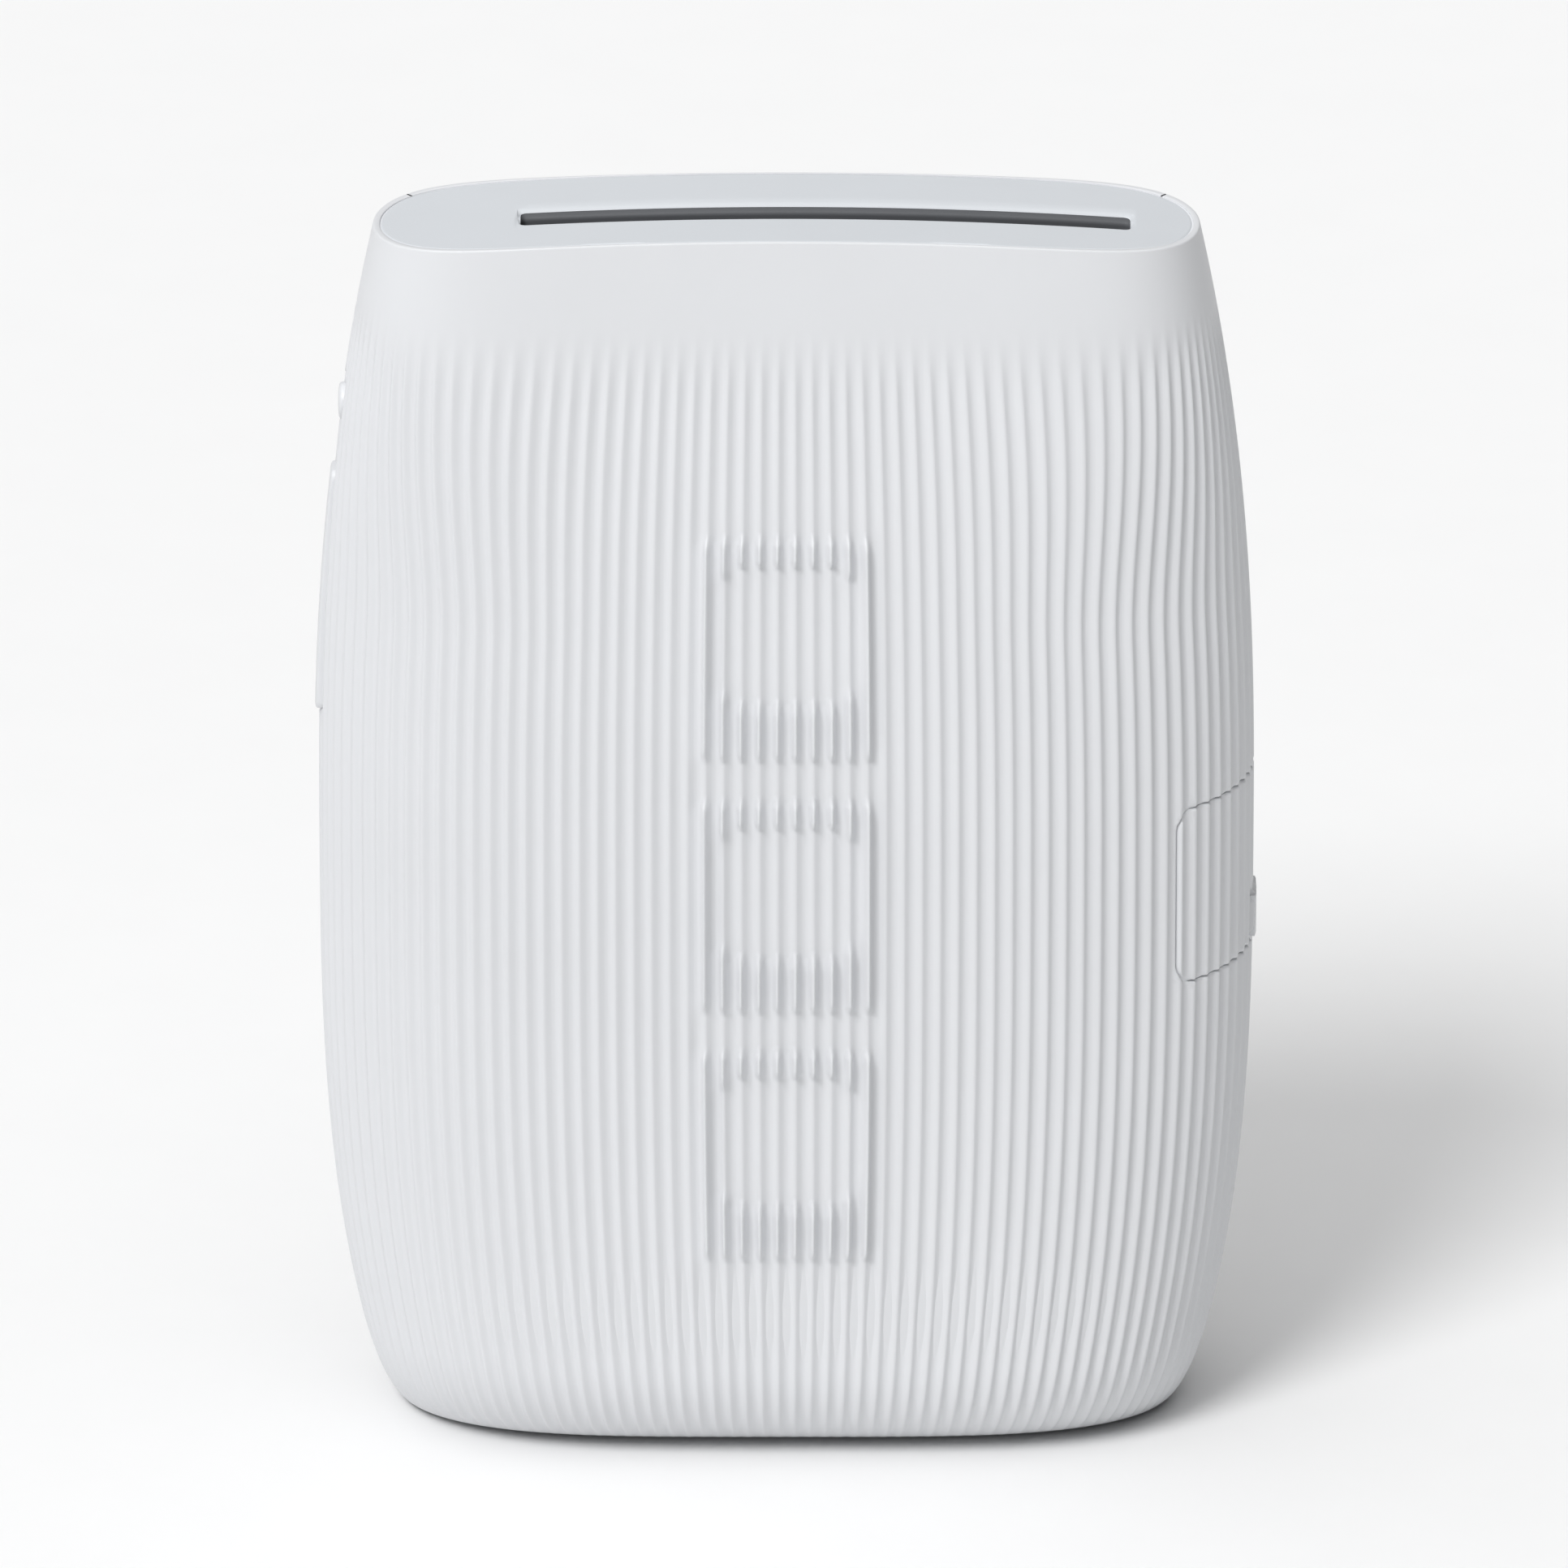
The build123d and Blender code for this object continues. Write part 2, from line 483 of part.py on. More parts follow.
def crossing(first, reach_first, second, reach_second, side):
    """Point at given distances from two points, on one side of the line between them."""
    span = math.dist(first, second)
    along = (reach_first ** 2 - reach_second ** 2 + span ** 2) / (2 * span)
    across = side * math.sqrt(reach_first ** 2 - along ** 2)
    unit = ((second[0] - first[0]) / span, (second[1] - first[1]) / span)
    return (first[0] + along * unit[0] + across * unit[1], first[1] + along * unit[1] - across * unit[0])


REDUCTION_Y = -0.7
REDUCTION = (REDUCTION_Y, MOTOR_Z + math.sqrt(spacing(PINION_TEETH, BIG_TEETH) ** 2
                                              - (REDUCTION_Y - MOTOR_Y) ** 2))
IDLER = crossing(REDUCTION, spacing(SMALL_TEETH, IDLER_TEETH), FRONT_ROLLER,
                 spacing(IDLER_TEETH, ROLLER_TEETH), 1)


def meshed(phase, teeth, centre, other_teeth, other_centre):
    """Phase of a gear whose space takes a tooth of the first gear on the line of centres."""
    line = math.atan2(other_centre[1] - centre[1], other_centre[0] - centre[0])
    met = teeth * (line - phase) / math.tau
    return line + math.pi - math.tau / other_teeth * (0.5 - met)


def gear_outline(teeth, phase, centre):
    """Closed list of points of an involute gear, thinned for backlash."""
    pitch_r = MODULE * teeth / 2
    base_r = pitch_r * math.cos(PRESSURE_ANGLE)
    tip_r, root_r = pitch_r + 0.8 * MODULE, pitch_r - 1.1 * MODULE
    low_r = max(base_r, root_r + 0.05)
    half = math.pi / 2 / teeth - 0.03 / pitch_r

    def flank(radius):
        ratio = max(radius / base_r, 1)
        swing = math.sqrt(ratio * ratio - 1) - math.acos(1 / ratio)
        return half + math.tan(PRESSURE_ANGLE) - PRESSURE_ANGLE - swing

    points = []
    for tooth in range(teeth):
        middle = phase + math.tau * tooth / teeth
        radii = [low_r + (tip_r - low_r) * step / 4 for step in range(5)]
        sides = [(root_r, -flank(low_r))] + [(r, -flank(r)) for r in radii]
        sides += [(r, flank(r)) for r in reversed(radii)] + [(root_r, flank(low_r))]
        for radius, turn in sides:
            points.append((centre[0] + radius * math.cos(middle + turn),
                           centre[1] + radius * math.sin(middle + turn)))
    return points


def gear(teeth, phase, centre, plane_x, width=GEAR_WIDTH):
    """Spur gear on an axis along X."""
    with BuildPart() as wheel:
        with BuildSketch(Plane.YZ.offset(plane_x)):
            with BuildLine():
                Polyline(*gear_outline(teeth, phase, centre), close=True)
            make_face()
        extrude(amount=width)
    return wheel.part


reduction_phase = meshed(0, PINION_TEETH, PINION, BIG_TEETH, REDUCTION)
idler_phase = meshed(reduction_phase, SMALL_TEETH, REDUCTION, IDLER_TEETH, IDLER)
front_phase = meshed(idler_phase, IDLER_TEETH, IDLER, ROLLER_TEETH, FRONT_ROLLER)
rear_phase = meshed(front_phase, ROLLER_TEETH, FRONT_ROLLER, ROLLER_TEETH, REAR_ROLLER)
GEAR_PIN_R, MOTOR_SHAFT_R = 0.75, 0.5

with BuildPart() as motor_pinion:
    add(gear(PINION_TEETH, 0, PINION, GEAR_PLANE_A))
    add(rod("X", MOTOR_SHAFT_R, (-40, *PINION), 15), mode=Mode.SUBTRACT)
write(motor_pinion, "motor_pinion")

with BuildPart() as reduction_gear:
    add(gear(BIG_TEETH, reduction_phase, REDUCTION, GEAR_PLANE_A))
    add(gear(SMALL_TEETH, reduction_phase, REDUCTION, GEAR_PLANE_B, GEAR_PLANE_A - GEAR_PLANE_B + 0.2))
    for turn in range(5):
        angle = reduction_phase + math.tau * turn / 5
        spot = (REDUCTION[0] + 5.1 * math.cos(angle), REDUCTION[1] + 5.1 * math.sin(angle))
        add(rod("X", 1.3, (-40, *spot), 15), mode=Mode.SUBTRACT)
    add(rod("X", GEAR_PIN_R + SHAFT_FIT, (-40, *REDUCTION), 15), mode=Mode.SUBTRACT)
write(reduction_gear, "reduction_gear")

with BuildPart() as idler_gear:
    add(gear(IDLER_TEETH, idler_phase, IDLER, GEAR_PLANE_B))
    for turn in range(5):
        angle = idler_phase + math.tau * turn / 5
        spot = (IDLER[0] + 4.2 * math.cos(angle), IDLER[1] + 4.2 * math.sin(angle))
        add(rod("X", 1.3, (-40, *spot), 15), mode=Mode.SUBTRACT)
    add(rod("X", GEAR_PIN_R + SHAFT_FIT, (-40, *IDLER), 15), mode=Mode.SUBTRACT)
write(idler_gear, "idler_gear")

SLEEVE = (FILM_X - 28.5, FILM_X + 28.5)
BRACKET_X = 35.9
SHAFT_END_X = BRACKET_X + PLATE_THICK + 0.4
with BuildPart() as front_roller_shaft:
    add(rod("X", SHAFT_R, (GEAR_PLANE_C, *FRONT_ROLLER), SHAFT_END_X - GEAR_PLANE_C))
write(front_roller_shaft, "front_roller_shaft")

with BuildPart() as front_roller_sleeve:
    add(rod("X", ROLLER_R, (SLEEVE[0], *FRONT_ROLLER), SLEEVE[1] - SLEEVE[0]))
    add(rod("X", SHAFT_R, (SLEEVE[0] - 1, *FRONT_ROLLER), SLEEVE[1] - SLEEVE[0] + 2), mode=Mode.SUBTRACT)
write(front_roller_sleeve, "front_roller_sleeve")

with BuildPart() as front_roller_gear:
    add(gear(ROLLER_TEETH, front_phase, FRONT_ROLLER, GEAR_PLANE_C, GEAR_PLANE_B + GEAR_WIDTH - GEAR_PLANE_C))
    add(rod("X", SHAFT_R, (-40, *FRONT_ROLLER), 15), mode=Mode.SUBTRACT)
write(front_roller_gear, "front_roller_gear")

with BuildPart() as rear_roller_shaft:
    add(rod("X", SHAFT_R, (GEAR_PLANE_C, *REAR_ROLLER), SHAFT_END_X - GEAR_PLANE_C))
    add(rod("X", ROLLER_R, (SLEEVE[0], *REAR_ROLLER), SLEEVE[1] - SLEEVE[0]))
write(rear_roller_shaft, "rear_roller_shaft")

with BuildPart() as rear_roller_gear:
    add(gear(ROLLER_TEETH, rear_phase, REAR_ROLLER, GEAR_PLANE_C))
    add(rod("X", SHAFT_R, (-40, *REAR_ROLLER), 15), mode=Mode.SUBTRACT)
write(rear_roller_gear, "rear_roller_gear")

# Bronze bushes in the gear plate and the bracket
BUSH_R, BUSH_LENGTH = 2.2, 1.3
with BuildPart() as roller_bushes:
    for centre in (FRONT_ROLLER, REAR_ROLLER):
        for x in (PLATE_X, BRACKET_X - 0.5):
            add(rod("X", BUSH_R, (x, *centre), BUSH_LENGTH))
            add(rod("X", SHAFT_R + SHAFT_FIT, (x - 1, *centre), BUSH_LENGTH + 2), mode=Mode.SUBTRACT)
write(roller_bushes, "roller_bushes")

with BuildPart() as gear_plate:
    with BuildSketch(Plane.YZ.offset(PLATE_X)):
        with BuildLine():
            Polyline((-13.0, 78.5), (-6.0, 76.5), (3.5, 84.0), (6.6, 100.0), (6.6, 115.6),
                     (-8.2, 115.6), (-10.0, 104.0), (-13.0, 95.0), close=True)
        make_face()
    extrude(amount=PLATE_THICK)
    add(clear_form, mode=Mode.INTERSECT)
    for centre in (FRONT_ROLLER, REAR_ROLLER):
        add(rod("X", BUSH_R, (-40, *centre), 20), mode=Mode.SUBTRACT)
    for centre in (REDUCTION, IDLER):
        add(rod("X", GEAR_PIN_R, (-40, *centre), 20), mode=Mode.SUBTRACT)
    add(rod("X", 1.6, (-40, *PINION), 20), mode=Mode.SUBTRACT)
write(gear_plate, "gear_plate")

with BuildPart() as roller_bracket:
    add(block((BRACKET_X, BRACKET_X + PLATE_THICK), (-8.2, 6.6), (104.6, 115.6)))
    add(clear_form, mode=Mode.INTERSECT)
    for centre in (FRONT_ROLLER, REAR_ROLLER):
        add(rod("X", BUSH_R, (30, *centre), 20), mode=Mode.SUBTRACT)
write(roller_bracket, "roller_bracket")

with BuildPart() as gear_pins:
    add(rod("X", GEAR_PIN_R, (GEAR_PLANE_B - 1.2, *REDUCTION), PLATE_X + PLATE_THICK - GEAR_PLANE_B + 1.2))
    add(rod("X", GEAR_PIN_R, (GEAR_PLANE_B - 1.2, *IDLER), PLATE_X + PLATE_THICK - GEAR_PLANE_B + 1.2))
write(gear_pins, "gear_pins")

with BuildPart() as gear_clips:
    for centre in (REDUCTION, IDLER):
        add(rod("X", 1.7, (GEAR_PLANE_B - 0.7, *centre), 0.4))
        add(rod("X", GEAR_PIN_R, (GEAR_PLANE_B - 2, *centre), 4), mode=Mode.SUBTRACT)
        add(block((GEAR_PLANE_B - 1, GEAR_PLANE_B), (centre[0] - 0.5, centre[0] + 0.5),
                  (centre[1] - 3, centre[1])), mode=Mode.SUBTRACT)
write(gear_clips, "gear_clips")

MOTOR_X, MOTOR_LENGTH = PLATE_X + PLATE_THICK, 20.0
with BuildPart() as drive_motor:
    with BuildSketch(Plane.YZ.offset(MOTOR_X)):
        with Locations(PINION):
            Circle(6.0)
            Rectangle(9.6, 12, mode=Mode.INTERSECT)
    extrude(amount=MOTOR_LENGTH)
    add(rod("X", 2.0, (MOTOR_X + MOTOR_LENGTH, *PINION), 0.8))
    add(rod("X", 1.5, (MOTOR_X - 0.7, *PINION), 0.7))
write(drive_motor, "drive_motor")

with BuildPart() as motor_shaft:
    add(rod("X", MOTOR_SHAFT_R, (GEAR_PLANE_A - 0.3, *PINION), MOTOR_X - 0.75 - GEAR_PLANE_A + 0.3))
write(motor_shaft, "motor_shaft")

with BuildPart() as motor_screws:
    for z in (MOTOR_Z - 4.4, MOTOR_Z + 4.4):
        add(rod("X", 0.95, (PLATE_X - 0.2, MOTOR_Y, z), 0.2))
write(motor_screws, "motor_screws")

# ---- Film claw ------------------------------------------------------------------------
CLAW_X = PACK_RIGHT + CHAMBER_WALL + 0.25
with BuildPart() as film_claw:
    add(block((CLAW_X, CLAW_X + 0.8), (FILM_Y - 0.5, FILM_Y + 3.5), (14.0, 46.0)))
    add(block((PACK_RIGHT + 0.15, CLAW_X + 0.1), (FILM_Y - 0.4, FILM_Y + 0.4), (14.0, 15.2)))
    add(block((CLAW_X, CLAW_X + 0.8), (FILM_Y + 0.6, FILM_Y + 1.8), (21.0, 33.0)), mode=Mode.SUBTRACT)
write(film_claw, "film_claw")

with BuildPart() as claw_guide:
    add(block((CLAW_X - 0.25, CLAW_X + 1.0), (FILM_Y + 0.7, FILM_Y + 1.7), (30.0, 31.0)))
write(claw_guide, "claw_guide")

# ---- Print head -----------------------------------------------------------------------
HEAD = ((FILM_X - 27.2, FILM_X + 27.3), (-10.2, -3.1), (104.3, 108.2))
with BuildPart() as print_head_housing:
    add(block(*HEAD))
    add(block((HEAD[0][0] + 1, HEAD[0][1] - 1), (-9.4, -7.6), (105.0, 107.6)), mode=Mode.SUBTRACT)
    add(block((HEAD[0][0] + 2, HEAD[0][1] - 2), (-8.0, -2.0), (105.6, 107.0)), mode=Mode.SUBTRACT)
write(print_head_housing, "print_head_housing")

with BuildPart() as head_board:
    add(block((HEAD[0][0] + 1, HEAD[0][1] - 1), (-9.4, -8.8), (105.0, 107.6)))
write(head_board, "head_board")

with BuildPart() as head_lens_bar:
    add(block((HEAD[0][0] + 2, HEAD[0][1] - 2), (-7.4, -3.2), (105.6, 107.0)))
write(head_lens_bar, "head_lens_bar")

# ---- Electronics ----------------------------------------------------------------------
BOARD = ((-26.0, 34.0), (BOARD_FRONT_Y, BOARD_BACK_Y), (24.0, 77.0))
with BuildPart() as main_board:
    add(block(*BOARD))
    add(block((33.0, 38.0), BOARD[1], (PORT_Z - 8, PORT_Z + 8)))
write(main_board, "main_board")

with BuildPart() as board_standoffs:
    for x in (-23.5, 31.0):
        for z in (26.5, 74.5):
            add(block((x - 1.5, x + 1.5), (BOARD_BACK_Y, CHAMBER_FRONT_Y), (z - 1.5, z + 1.5)))
write(board_standoffs, "board_standoffs")

with BuildPart() as board_screws:
    for x in (-23.5, 31.0):
        for z in (26.5, 74.5):
            add(rod("Y", 1.3, (x, BOARD_FRONT_Y - 0.6, z), 0.6))
            add(block((x - 0.9, x + 0.9), (BOARD_FRONT_Y - 1, BOARD_FRONT_Y - 0.35), (z - 0.15, z + 0.15)),
                mode=Mode.SUBTRACT)
write(board_screws, "board_screws")

with BuildPart() as shield_can:
    add(block((-8, 14), (BOARD_FRONT_Y - 1.6, BOARD_FRONT_Y), (60, 75)))
    fillet(shield_can.edges().filter_by(Axis.Y), 0.8)
write(shield_can, "shield_can")

with BuildPart() as board_chips:
    for x, z, width, height in ((-20, 66, 7, 7), (19, 66, 6, 8), (26, 70, 4, 3), (26, 62, 3, 3)):
        add(block((x - width / 2, x + width / 2), (BOARD_FRONT_Y - 0.9, BOARD_FRONT_Y),
                  (z - height / 2, z + height / 2)))
write(board_chips, "board_chips")

BATTERY = ((-24.0, 26.0), (-13.6, -7.8), (22.0, 55.0))
with BuildPart() as battery_tray:
    add(block((BATTERY[0][0] - 1, BATTERY[0][1] + 1), (-7.8, -6.8), (BATTERY[2][0] - 1, BATTERY[2][1] + 1)))
    for x in (BATTERY[0][0] - 1, BATTERY[0][1]):
        add(block((x, x + 1), (-10.5, -7.0), (BATTERY[2][0] + 4, BATTERY[2][1] - 4)))
    for x in (-20, 21):
        for z in (30, 46):
            add(block((x - 1, x + 1), (-7.0, BOARD_FRONT_Y), (z - 1, z + 1)))
write(battery_tray, "battery_tray")

with BuildPart() as battery_pack:
    add(block(*BATTERY))
    fillet(battery_pack.edges().filter_by(Axis.Z), 2.2)
    fillet(battery_pack.edges().filter_by(Axis.X), 0.6)
write(battery_pack, "battery_pack")

with BuildPart() as battery_connector:
    add(block((-2.5, 3.5), (BOARD_FRONT_Y - 2.6, BOARD_FRONT_Y), (56.6, 59.6)))
write(battery_connector, "battery_connector")

with BuildPart() as battery_leads:
    for x in (-0.6, 1.6):
        add(block((x - 0.4, x + 0.4), (-9.6, -8.8), (BATTERY[2][1], 58.5)))
        add(block((x - 0.4, x + 0.4), (-9.6, BOARD_FRONT_Y - 2.6), (57.7, 58.5)))
write(battery_leads, "battery_leads")

# ---- Fasteners ------------------------------------------------------------------------
with BuildPart() as case_screws:
    for x, z in POSTS:
        add(rod("Y", SCREW_R, (x, POST_END_Y - 4.5, z), 4.5 + PART_LINE_Y + 0.5 - POST_END_Y))
        add(rod("Y", SCREW_R + 0.8, (x, PART_LINE_Y + 0.5, z), 0.9))
        add(block((x - 1, x + 1), (PART_LINE_Y + 0.95, 12), (z - 0.2, z + 0.2)), mode=Mode.SUBTRACT)
        add(block((x - 0.2, x + 0.2), (PART_LINE_Y + 0.95, 12), (z - 1, z + 1)), mode=Mode.SUBTRACT)
write(case_screws, "case_screws")
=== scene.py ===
"""Looks of the pocket instant-film printer: fluted skins, cap, controls, materials, light and camera."""
import json
import math

import bmesh
import bpy
import numpy as np
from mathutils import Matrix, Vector, geometry, kdtree

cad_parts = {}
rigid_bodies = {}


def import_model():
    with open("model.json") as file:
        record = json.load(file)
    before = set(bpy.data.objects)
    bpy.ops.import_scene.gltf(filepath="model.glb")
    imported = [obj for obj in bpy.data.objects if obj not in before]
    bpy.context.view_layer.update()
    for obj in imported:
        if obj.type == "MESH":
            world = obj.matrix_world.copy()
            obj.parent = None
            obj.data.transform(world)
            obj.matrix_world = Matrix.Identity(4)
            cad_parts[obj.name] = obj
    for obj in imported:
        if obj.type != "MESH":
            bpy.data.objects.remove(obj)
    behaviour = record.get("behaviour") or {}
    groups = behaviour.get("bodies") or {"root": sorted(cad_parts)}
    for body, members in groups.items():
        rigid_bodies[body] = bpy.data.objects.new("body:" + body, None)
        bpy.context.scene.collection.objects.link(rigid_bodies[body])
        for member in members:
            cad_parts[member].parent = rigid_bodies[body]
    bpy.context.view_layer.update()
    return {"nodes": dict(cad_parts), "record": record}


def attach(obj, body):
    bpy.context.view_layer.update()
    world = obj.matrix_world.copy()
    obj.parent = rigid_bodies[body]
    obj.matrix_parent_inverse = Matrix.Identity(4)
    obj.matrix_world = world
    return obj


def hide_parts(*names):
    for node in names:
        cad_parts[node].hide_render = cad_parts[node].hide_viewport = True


for item in list(bpy.data.objects):
    bpy.data.objects.remove(item)
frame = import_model()
MM = 0.001

# ---- Form of the case, in millimetres, as the CAD shells have it -----------------------
HEIGHT = 124.0
HALF_WIDTH, TOP_HALF_WIDTH, FOOT_HALF_WIDTH, WIDEST_Z = 44.6, 38.7, 38.1, 61.8
HALF_DEPTH, TOP_HALF_DEPTH, FOOT_HALF_DEPTH, DEEPEST_Z = 18.25, 8.62, 18.25, 60.0
WIDTH_POWER_UP, WIDTH_POWER_DOWN = 2.42, 3.18
DEPTH_POWER_UP, DEPTH_POWER_DOWN = 2.0, 2.6
ROUND_HEIGHT, ROUND_SIDE, ROUND_FRONT = 10.4, 2.3, 10.5
SIDE_ROUND_POWER, FRONT_ROUND_POWER = 2.65, 2.0
SIDE_POWER, TOP_SIDE_POWER, POWER_START_Z = 4.0, 9.3, 85.0
TOP_SAG, SAG_HALF = 1.66, 39.44
PART_LINE_Y = 6.5
CREST_HALF_WIDTH, CREST_HALF_DEPTH = 45.0, 18.65     # half sizes over the flutes, rounded

# ---- Flutes ----------------------------------------------------------------------------
FLUTES = 126
GROOVE, CREST, RAISED = 0.06, 0.42, 0.80
COLUMNS = (0.0, 0.23, 0.37, 0.455, 0.545, 0.63, 0.77)
FADE_LOW_Z, FADE_HIGH_Z = 108.5, 116.0
FOOT_FADE_Z, FOOT_FADE_RUN = 0.7, 2.2
EDGE_LEVEL = 0.03
RIM_LIFT, RIM_ROUND, RIM_INNER, RIM_LEVEL, RIM_WALL = 0.16, 0.17, 0.06, 0.18, 0.3
LEAN_STEP, LOWEST_Z = 0.02, 0.03
RIM_DROP = RIM_ROUND - RIM_LIFT


def smooth(t):
    t = np.clip(t, 0, 1)
    return t * t * (3 - 2 * t)


def swell(z, level, middle, top, foot, power_up, power_down):
    """Half size at height z: widest at the level, smaller at the top and the foot."""
    up = middle - (middle - top) * np.clip((z - level) / (HEIGHT - level), 0, 1) ** power_up
    down = middle - (middle - foot) * np.clip((level - z) / level, 0, 1) ** power_down
    return np.where(z > level, up, down)


def section(z):
    """Half width, half depth and side power of the outline at height z."""
    z = np.asarray(z, float)
    width = swell(z, WIDEST_Z, HALF_WIDTH, TOP_HALF_WIDTH, FOOT_HALF_WIDTH,
                  WIDTH_POWER_UP, WIDTH_POWER_DOWN)
    depth = swell(z, DEEPEST_Z, HALF_DEPTH, TOP_HALF_DEPTH, FOOT_HALF_DEPTH,
                  DEPTH_POWER_UP, DEPTH_POWER_DOWN)
    below = np.clip((ROUND_HEIGHT - z) / ROUND_HEIGHT, 0, 1)
    side_edge = 1 - (1 - below ** SIDE_ROUND_POWER) ** (1 / SIDE_ROUND_POWER)
    front_edge = 1 - (1 - below ** FRONT_ROUND_POWER) ** (1 / FRONT_ROUND_POWER)
    rise = smooth((z - POWER_START_Z) / (HEIGHT - POWER_START_Z))
    power = SIDE_POWER + (TOP_SIDE_POWER - SIDE_POWER) * rise
    return width - ROUND_SIDE * side_edge, depth - ROUND_FRONT * front_edge, power


# The flute lines meet the widest section at even steps round its outline
_angle = np.linspace(-math.pi, math.pi, 40001)
_ref_x = np.sign(np.sin(_angle)) * np.abs(np.sin(_angle)) ** (2 / SIDE_POWER)
_ref_y = -np.cos(_angle)
_run = np.concatenate([[0], np.cumsum(np.hypot(np.diff(_ref_x * CREST_HALF_WIDTH),
                                               np.diff(_ref_y * CREST_HALF_DEPTH)))])
GIRTH = _run[-1]
PITCH = GIRTH / FLUTES
_run -= GIRTH / 2


def unit_outline(s):
    """Point of the widest outline, in half widths and half depths, at distance s from the front centre."""
    wrapped = (s + GIRTH / 2) % GIRTH - GIRTH / 2
    return np.interp(wrapped, _run, _ref_x), np.interp(wrapped, _run, _ref_y)


# Distance v runs up the front of the case, so that rows stay even round the bottom edge
_z = np.concatenate([ROUND_HEIGHT * (1 - np.sin(np.linspace(math.pi / 2, 0, 400)) ** (2 / FRONT_ROUND_POWER)),
                     np.linspace(ROUND_HEIGHT, HEIGHT + 2, 1200)[1:]])
_v = np.concatenate([[0], np.cumsum(np.hypot(np.diff(_z), np.diff(section(_z)[1])))])


def v_at(z):
    return np.interp(z, _z, _v)


def z_at(v):
    return np.interp(v, _v, _z)


def place(s, v, level):
    """Point of the case's surface at a distance up the front, raised by a level, in millimetres."""
    s, v, level = np.broadcast_arrays(np.asarray(s, float), np.asarray(v, float), np.asarray(level, float))
    return place_z(s, z_at(v), level)


def place_z(s, z, level):
    """Point of the case's surface at a height, raised by a level, in millimetres."""
    unit_x, unit_y = unit_outline(s)
    width, depth, power = section(z)
    stretch = np.ones_like(unit_x)
    for _ in range(12):
        side = np.abs(stretch * unit_x) ** power
        value = side + (stretch * unit_y) ** 2 - 1
        slope = (power * side + 2 * (stretch * unit_y) ** 2) / stretch
        stretch = stretch - value / slope
    # Round the bottom edge the level leans down with the surface, but never below the foot
    width_above, depth_above, _ = section(z + LEAN_STEP)
    lean = ((depth_above - depth) * (stretch * unit_y) ** 2 + (width_above - width) * side) / LEAN_STEP
    lean = np.where(z < ROUND_HEIGHT, np.maximum(lean, 0), 0)
    out = level / np.sqrt(1 + lean ** 2)
    down = np.minimum(out * lean * 0.5, np.maximum(z - LOWEST_Z, 0))
    return np.stack([(width + out) * stretch * unit_x, (depth + out) * stretch * unit_y, z - down], -1)


def s_where(axis, value, z, low, high):
    """Distance round the case at which x or y has a value, at each height z, between two limits of s."""
    trial = np.linspace(low, high, 1500)
    found = []
    for level in np.atleast_1d(z):
        along = place_z(trial, np.full_like(trial, level), 0.0)[:, axis]
        order = np.argsort(along)
        found.append(np.interp(value, along[order], trial[order]))
    return np.array(found)


def rim_z(s):
    """Height of the arched top at a distance round the case."""
    x = place_z(s, np.full_like(np.asarray(s, float), HEIGHT), 0.0)[..., 0]
    return HEIGHT - TOP_SAG * (np.abs(x) / SAG_HALF) ** 2


# ---- Relief on the front: three generic picture cards in a column -----------------------
CARD_HALF, CARD_HEIGHT, CARD_RADIUS = 9.4, 22.0, 2.2
CARD_CENTRES = (33.5, 59.5, 85.5)
WINDOW_HALF, WINDOW_LOW, WINDOW_HIGH, WINDOW_RADIUS = 5.9, -5.0, 8.0, 1.5
RELIEF_SLOPE = 0.6


def rounded_box(x, y, half_x, half_y, radius):
    """Signed distance to a rounded rectangle, negative inside."""
    out_x, out_y = np.abs(x) - half_x + radius, np.abs(y) - half_y + radius
    outside = np.hypot(np.maximum(out_x, 0), np.maximum(out_y, 0))
    return outside + np.minimum(np.maximum(out_x, out_y), 0) - radius


def relief(s, z):
    """How far a rib is raised, 0 to 1, judged at the rib's own crest line."""
    crest = (np.floor(s / PITCH) + 0.5) * PITCH
    best = np.full_like(crest, -9.0)
    window_half = (WINDOW_HIGH - WINDOW_LOW) / 2
    for centre in CARD_CENTRES:
        card = rounded_box(crest, z - centre, CARD_HALF, CARD_HEIGHT / 2, CARD_RADIUS)
        middle = centre + (WINDOW_LOW + WINDOW_HIGH) / 2
        window = rounded_box(crest, z - middle, WINDOW_HALF, window_half, WINDOW_RADIUS)
        best = np.maximum(best, -np.maximum(card, -window))
    return smooth(best / RELIEF_SLOPE)


def flute_level(s, v):
    """Height of the fluted surface over the CAD shell."""
    z = z_at(v)
    off = np.abs(s / PITCH - np.floor(s / PITCH) - 0.5)
    rib = np.where(off < 1 / 6, 1 - 12 * off * off, 6 * (0.5 - off) ** 2)
    fade_top = 1 - smooth((z - FADE_LOW_Z) / (FADE_HIGH_Z - FADE_LOW_Z))
    fade = fade_top * smooth((z - FOOT_FADE_Z) / FOOT_FADE_RUN)
    lift = RAISED * relief(s, z) * rib * rib
    return CREST - (CREST - GROOVE) * fade * (1 - rib) + lift


# ---- Meshes ----------------------------------------------------------------------------
def new_object(name, verts, faces, smooth_faces=True):
    """Object with one mesh, from points in millimetres."""
    mesh = bpy.data.meshes.new(name)
    points = [tuple(map(float, point)) for point in np.asarray(verts) * MM]
    mesh.from_pydata(points, [], [list(map(int, face)) for face in faces])
    mesh.validate()
    mesh.update()
    if smooth_faces:
        mesh.polygons.foreach_set("use_smooth", [True] * len(mesh.polygons))
    piece = bpy.data.objects.new(name, mesh)
    bpy.context.scene.collection.objects.link(piece)
    return piece


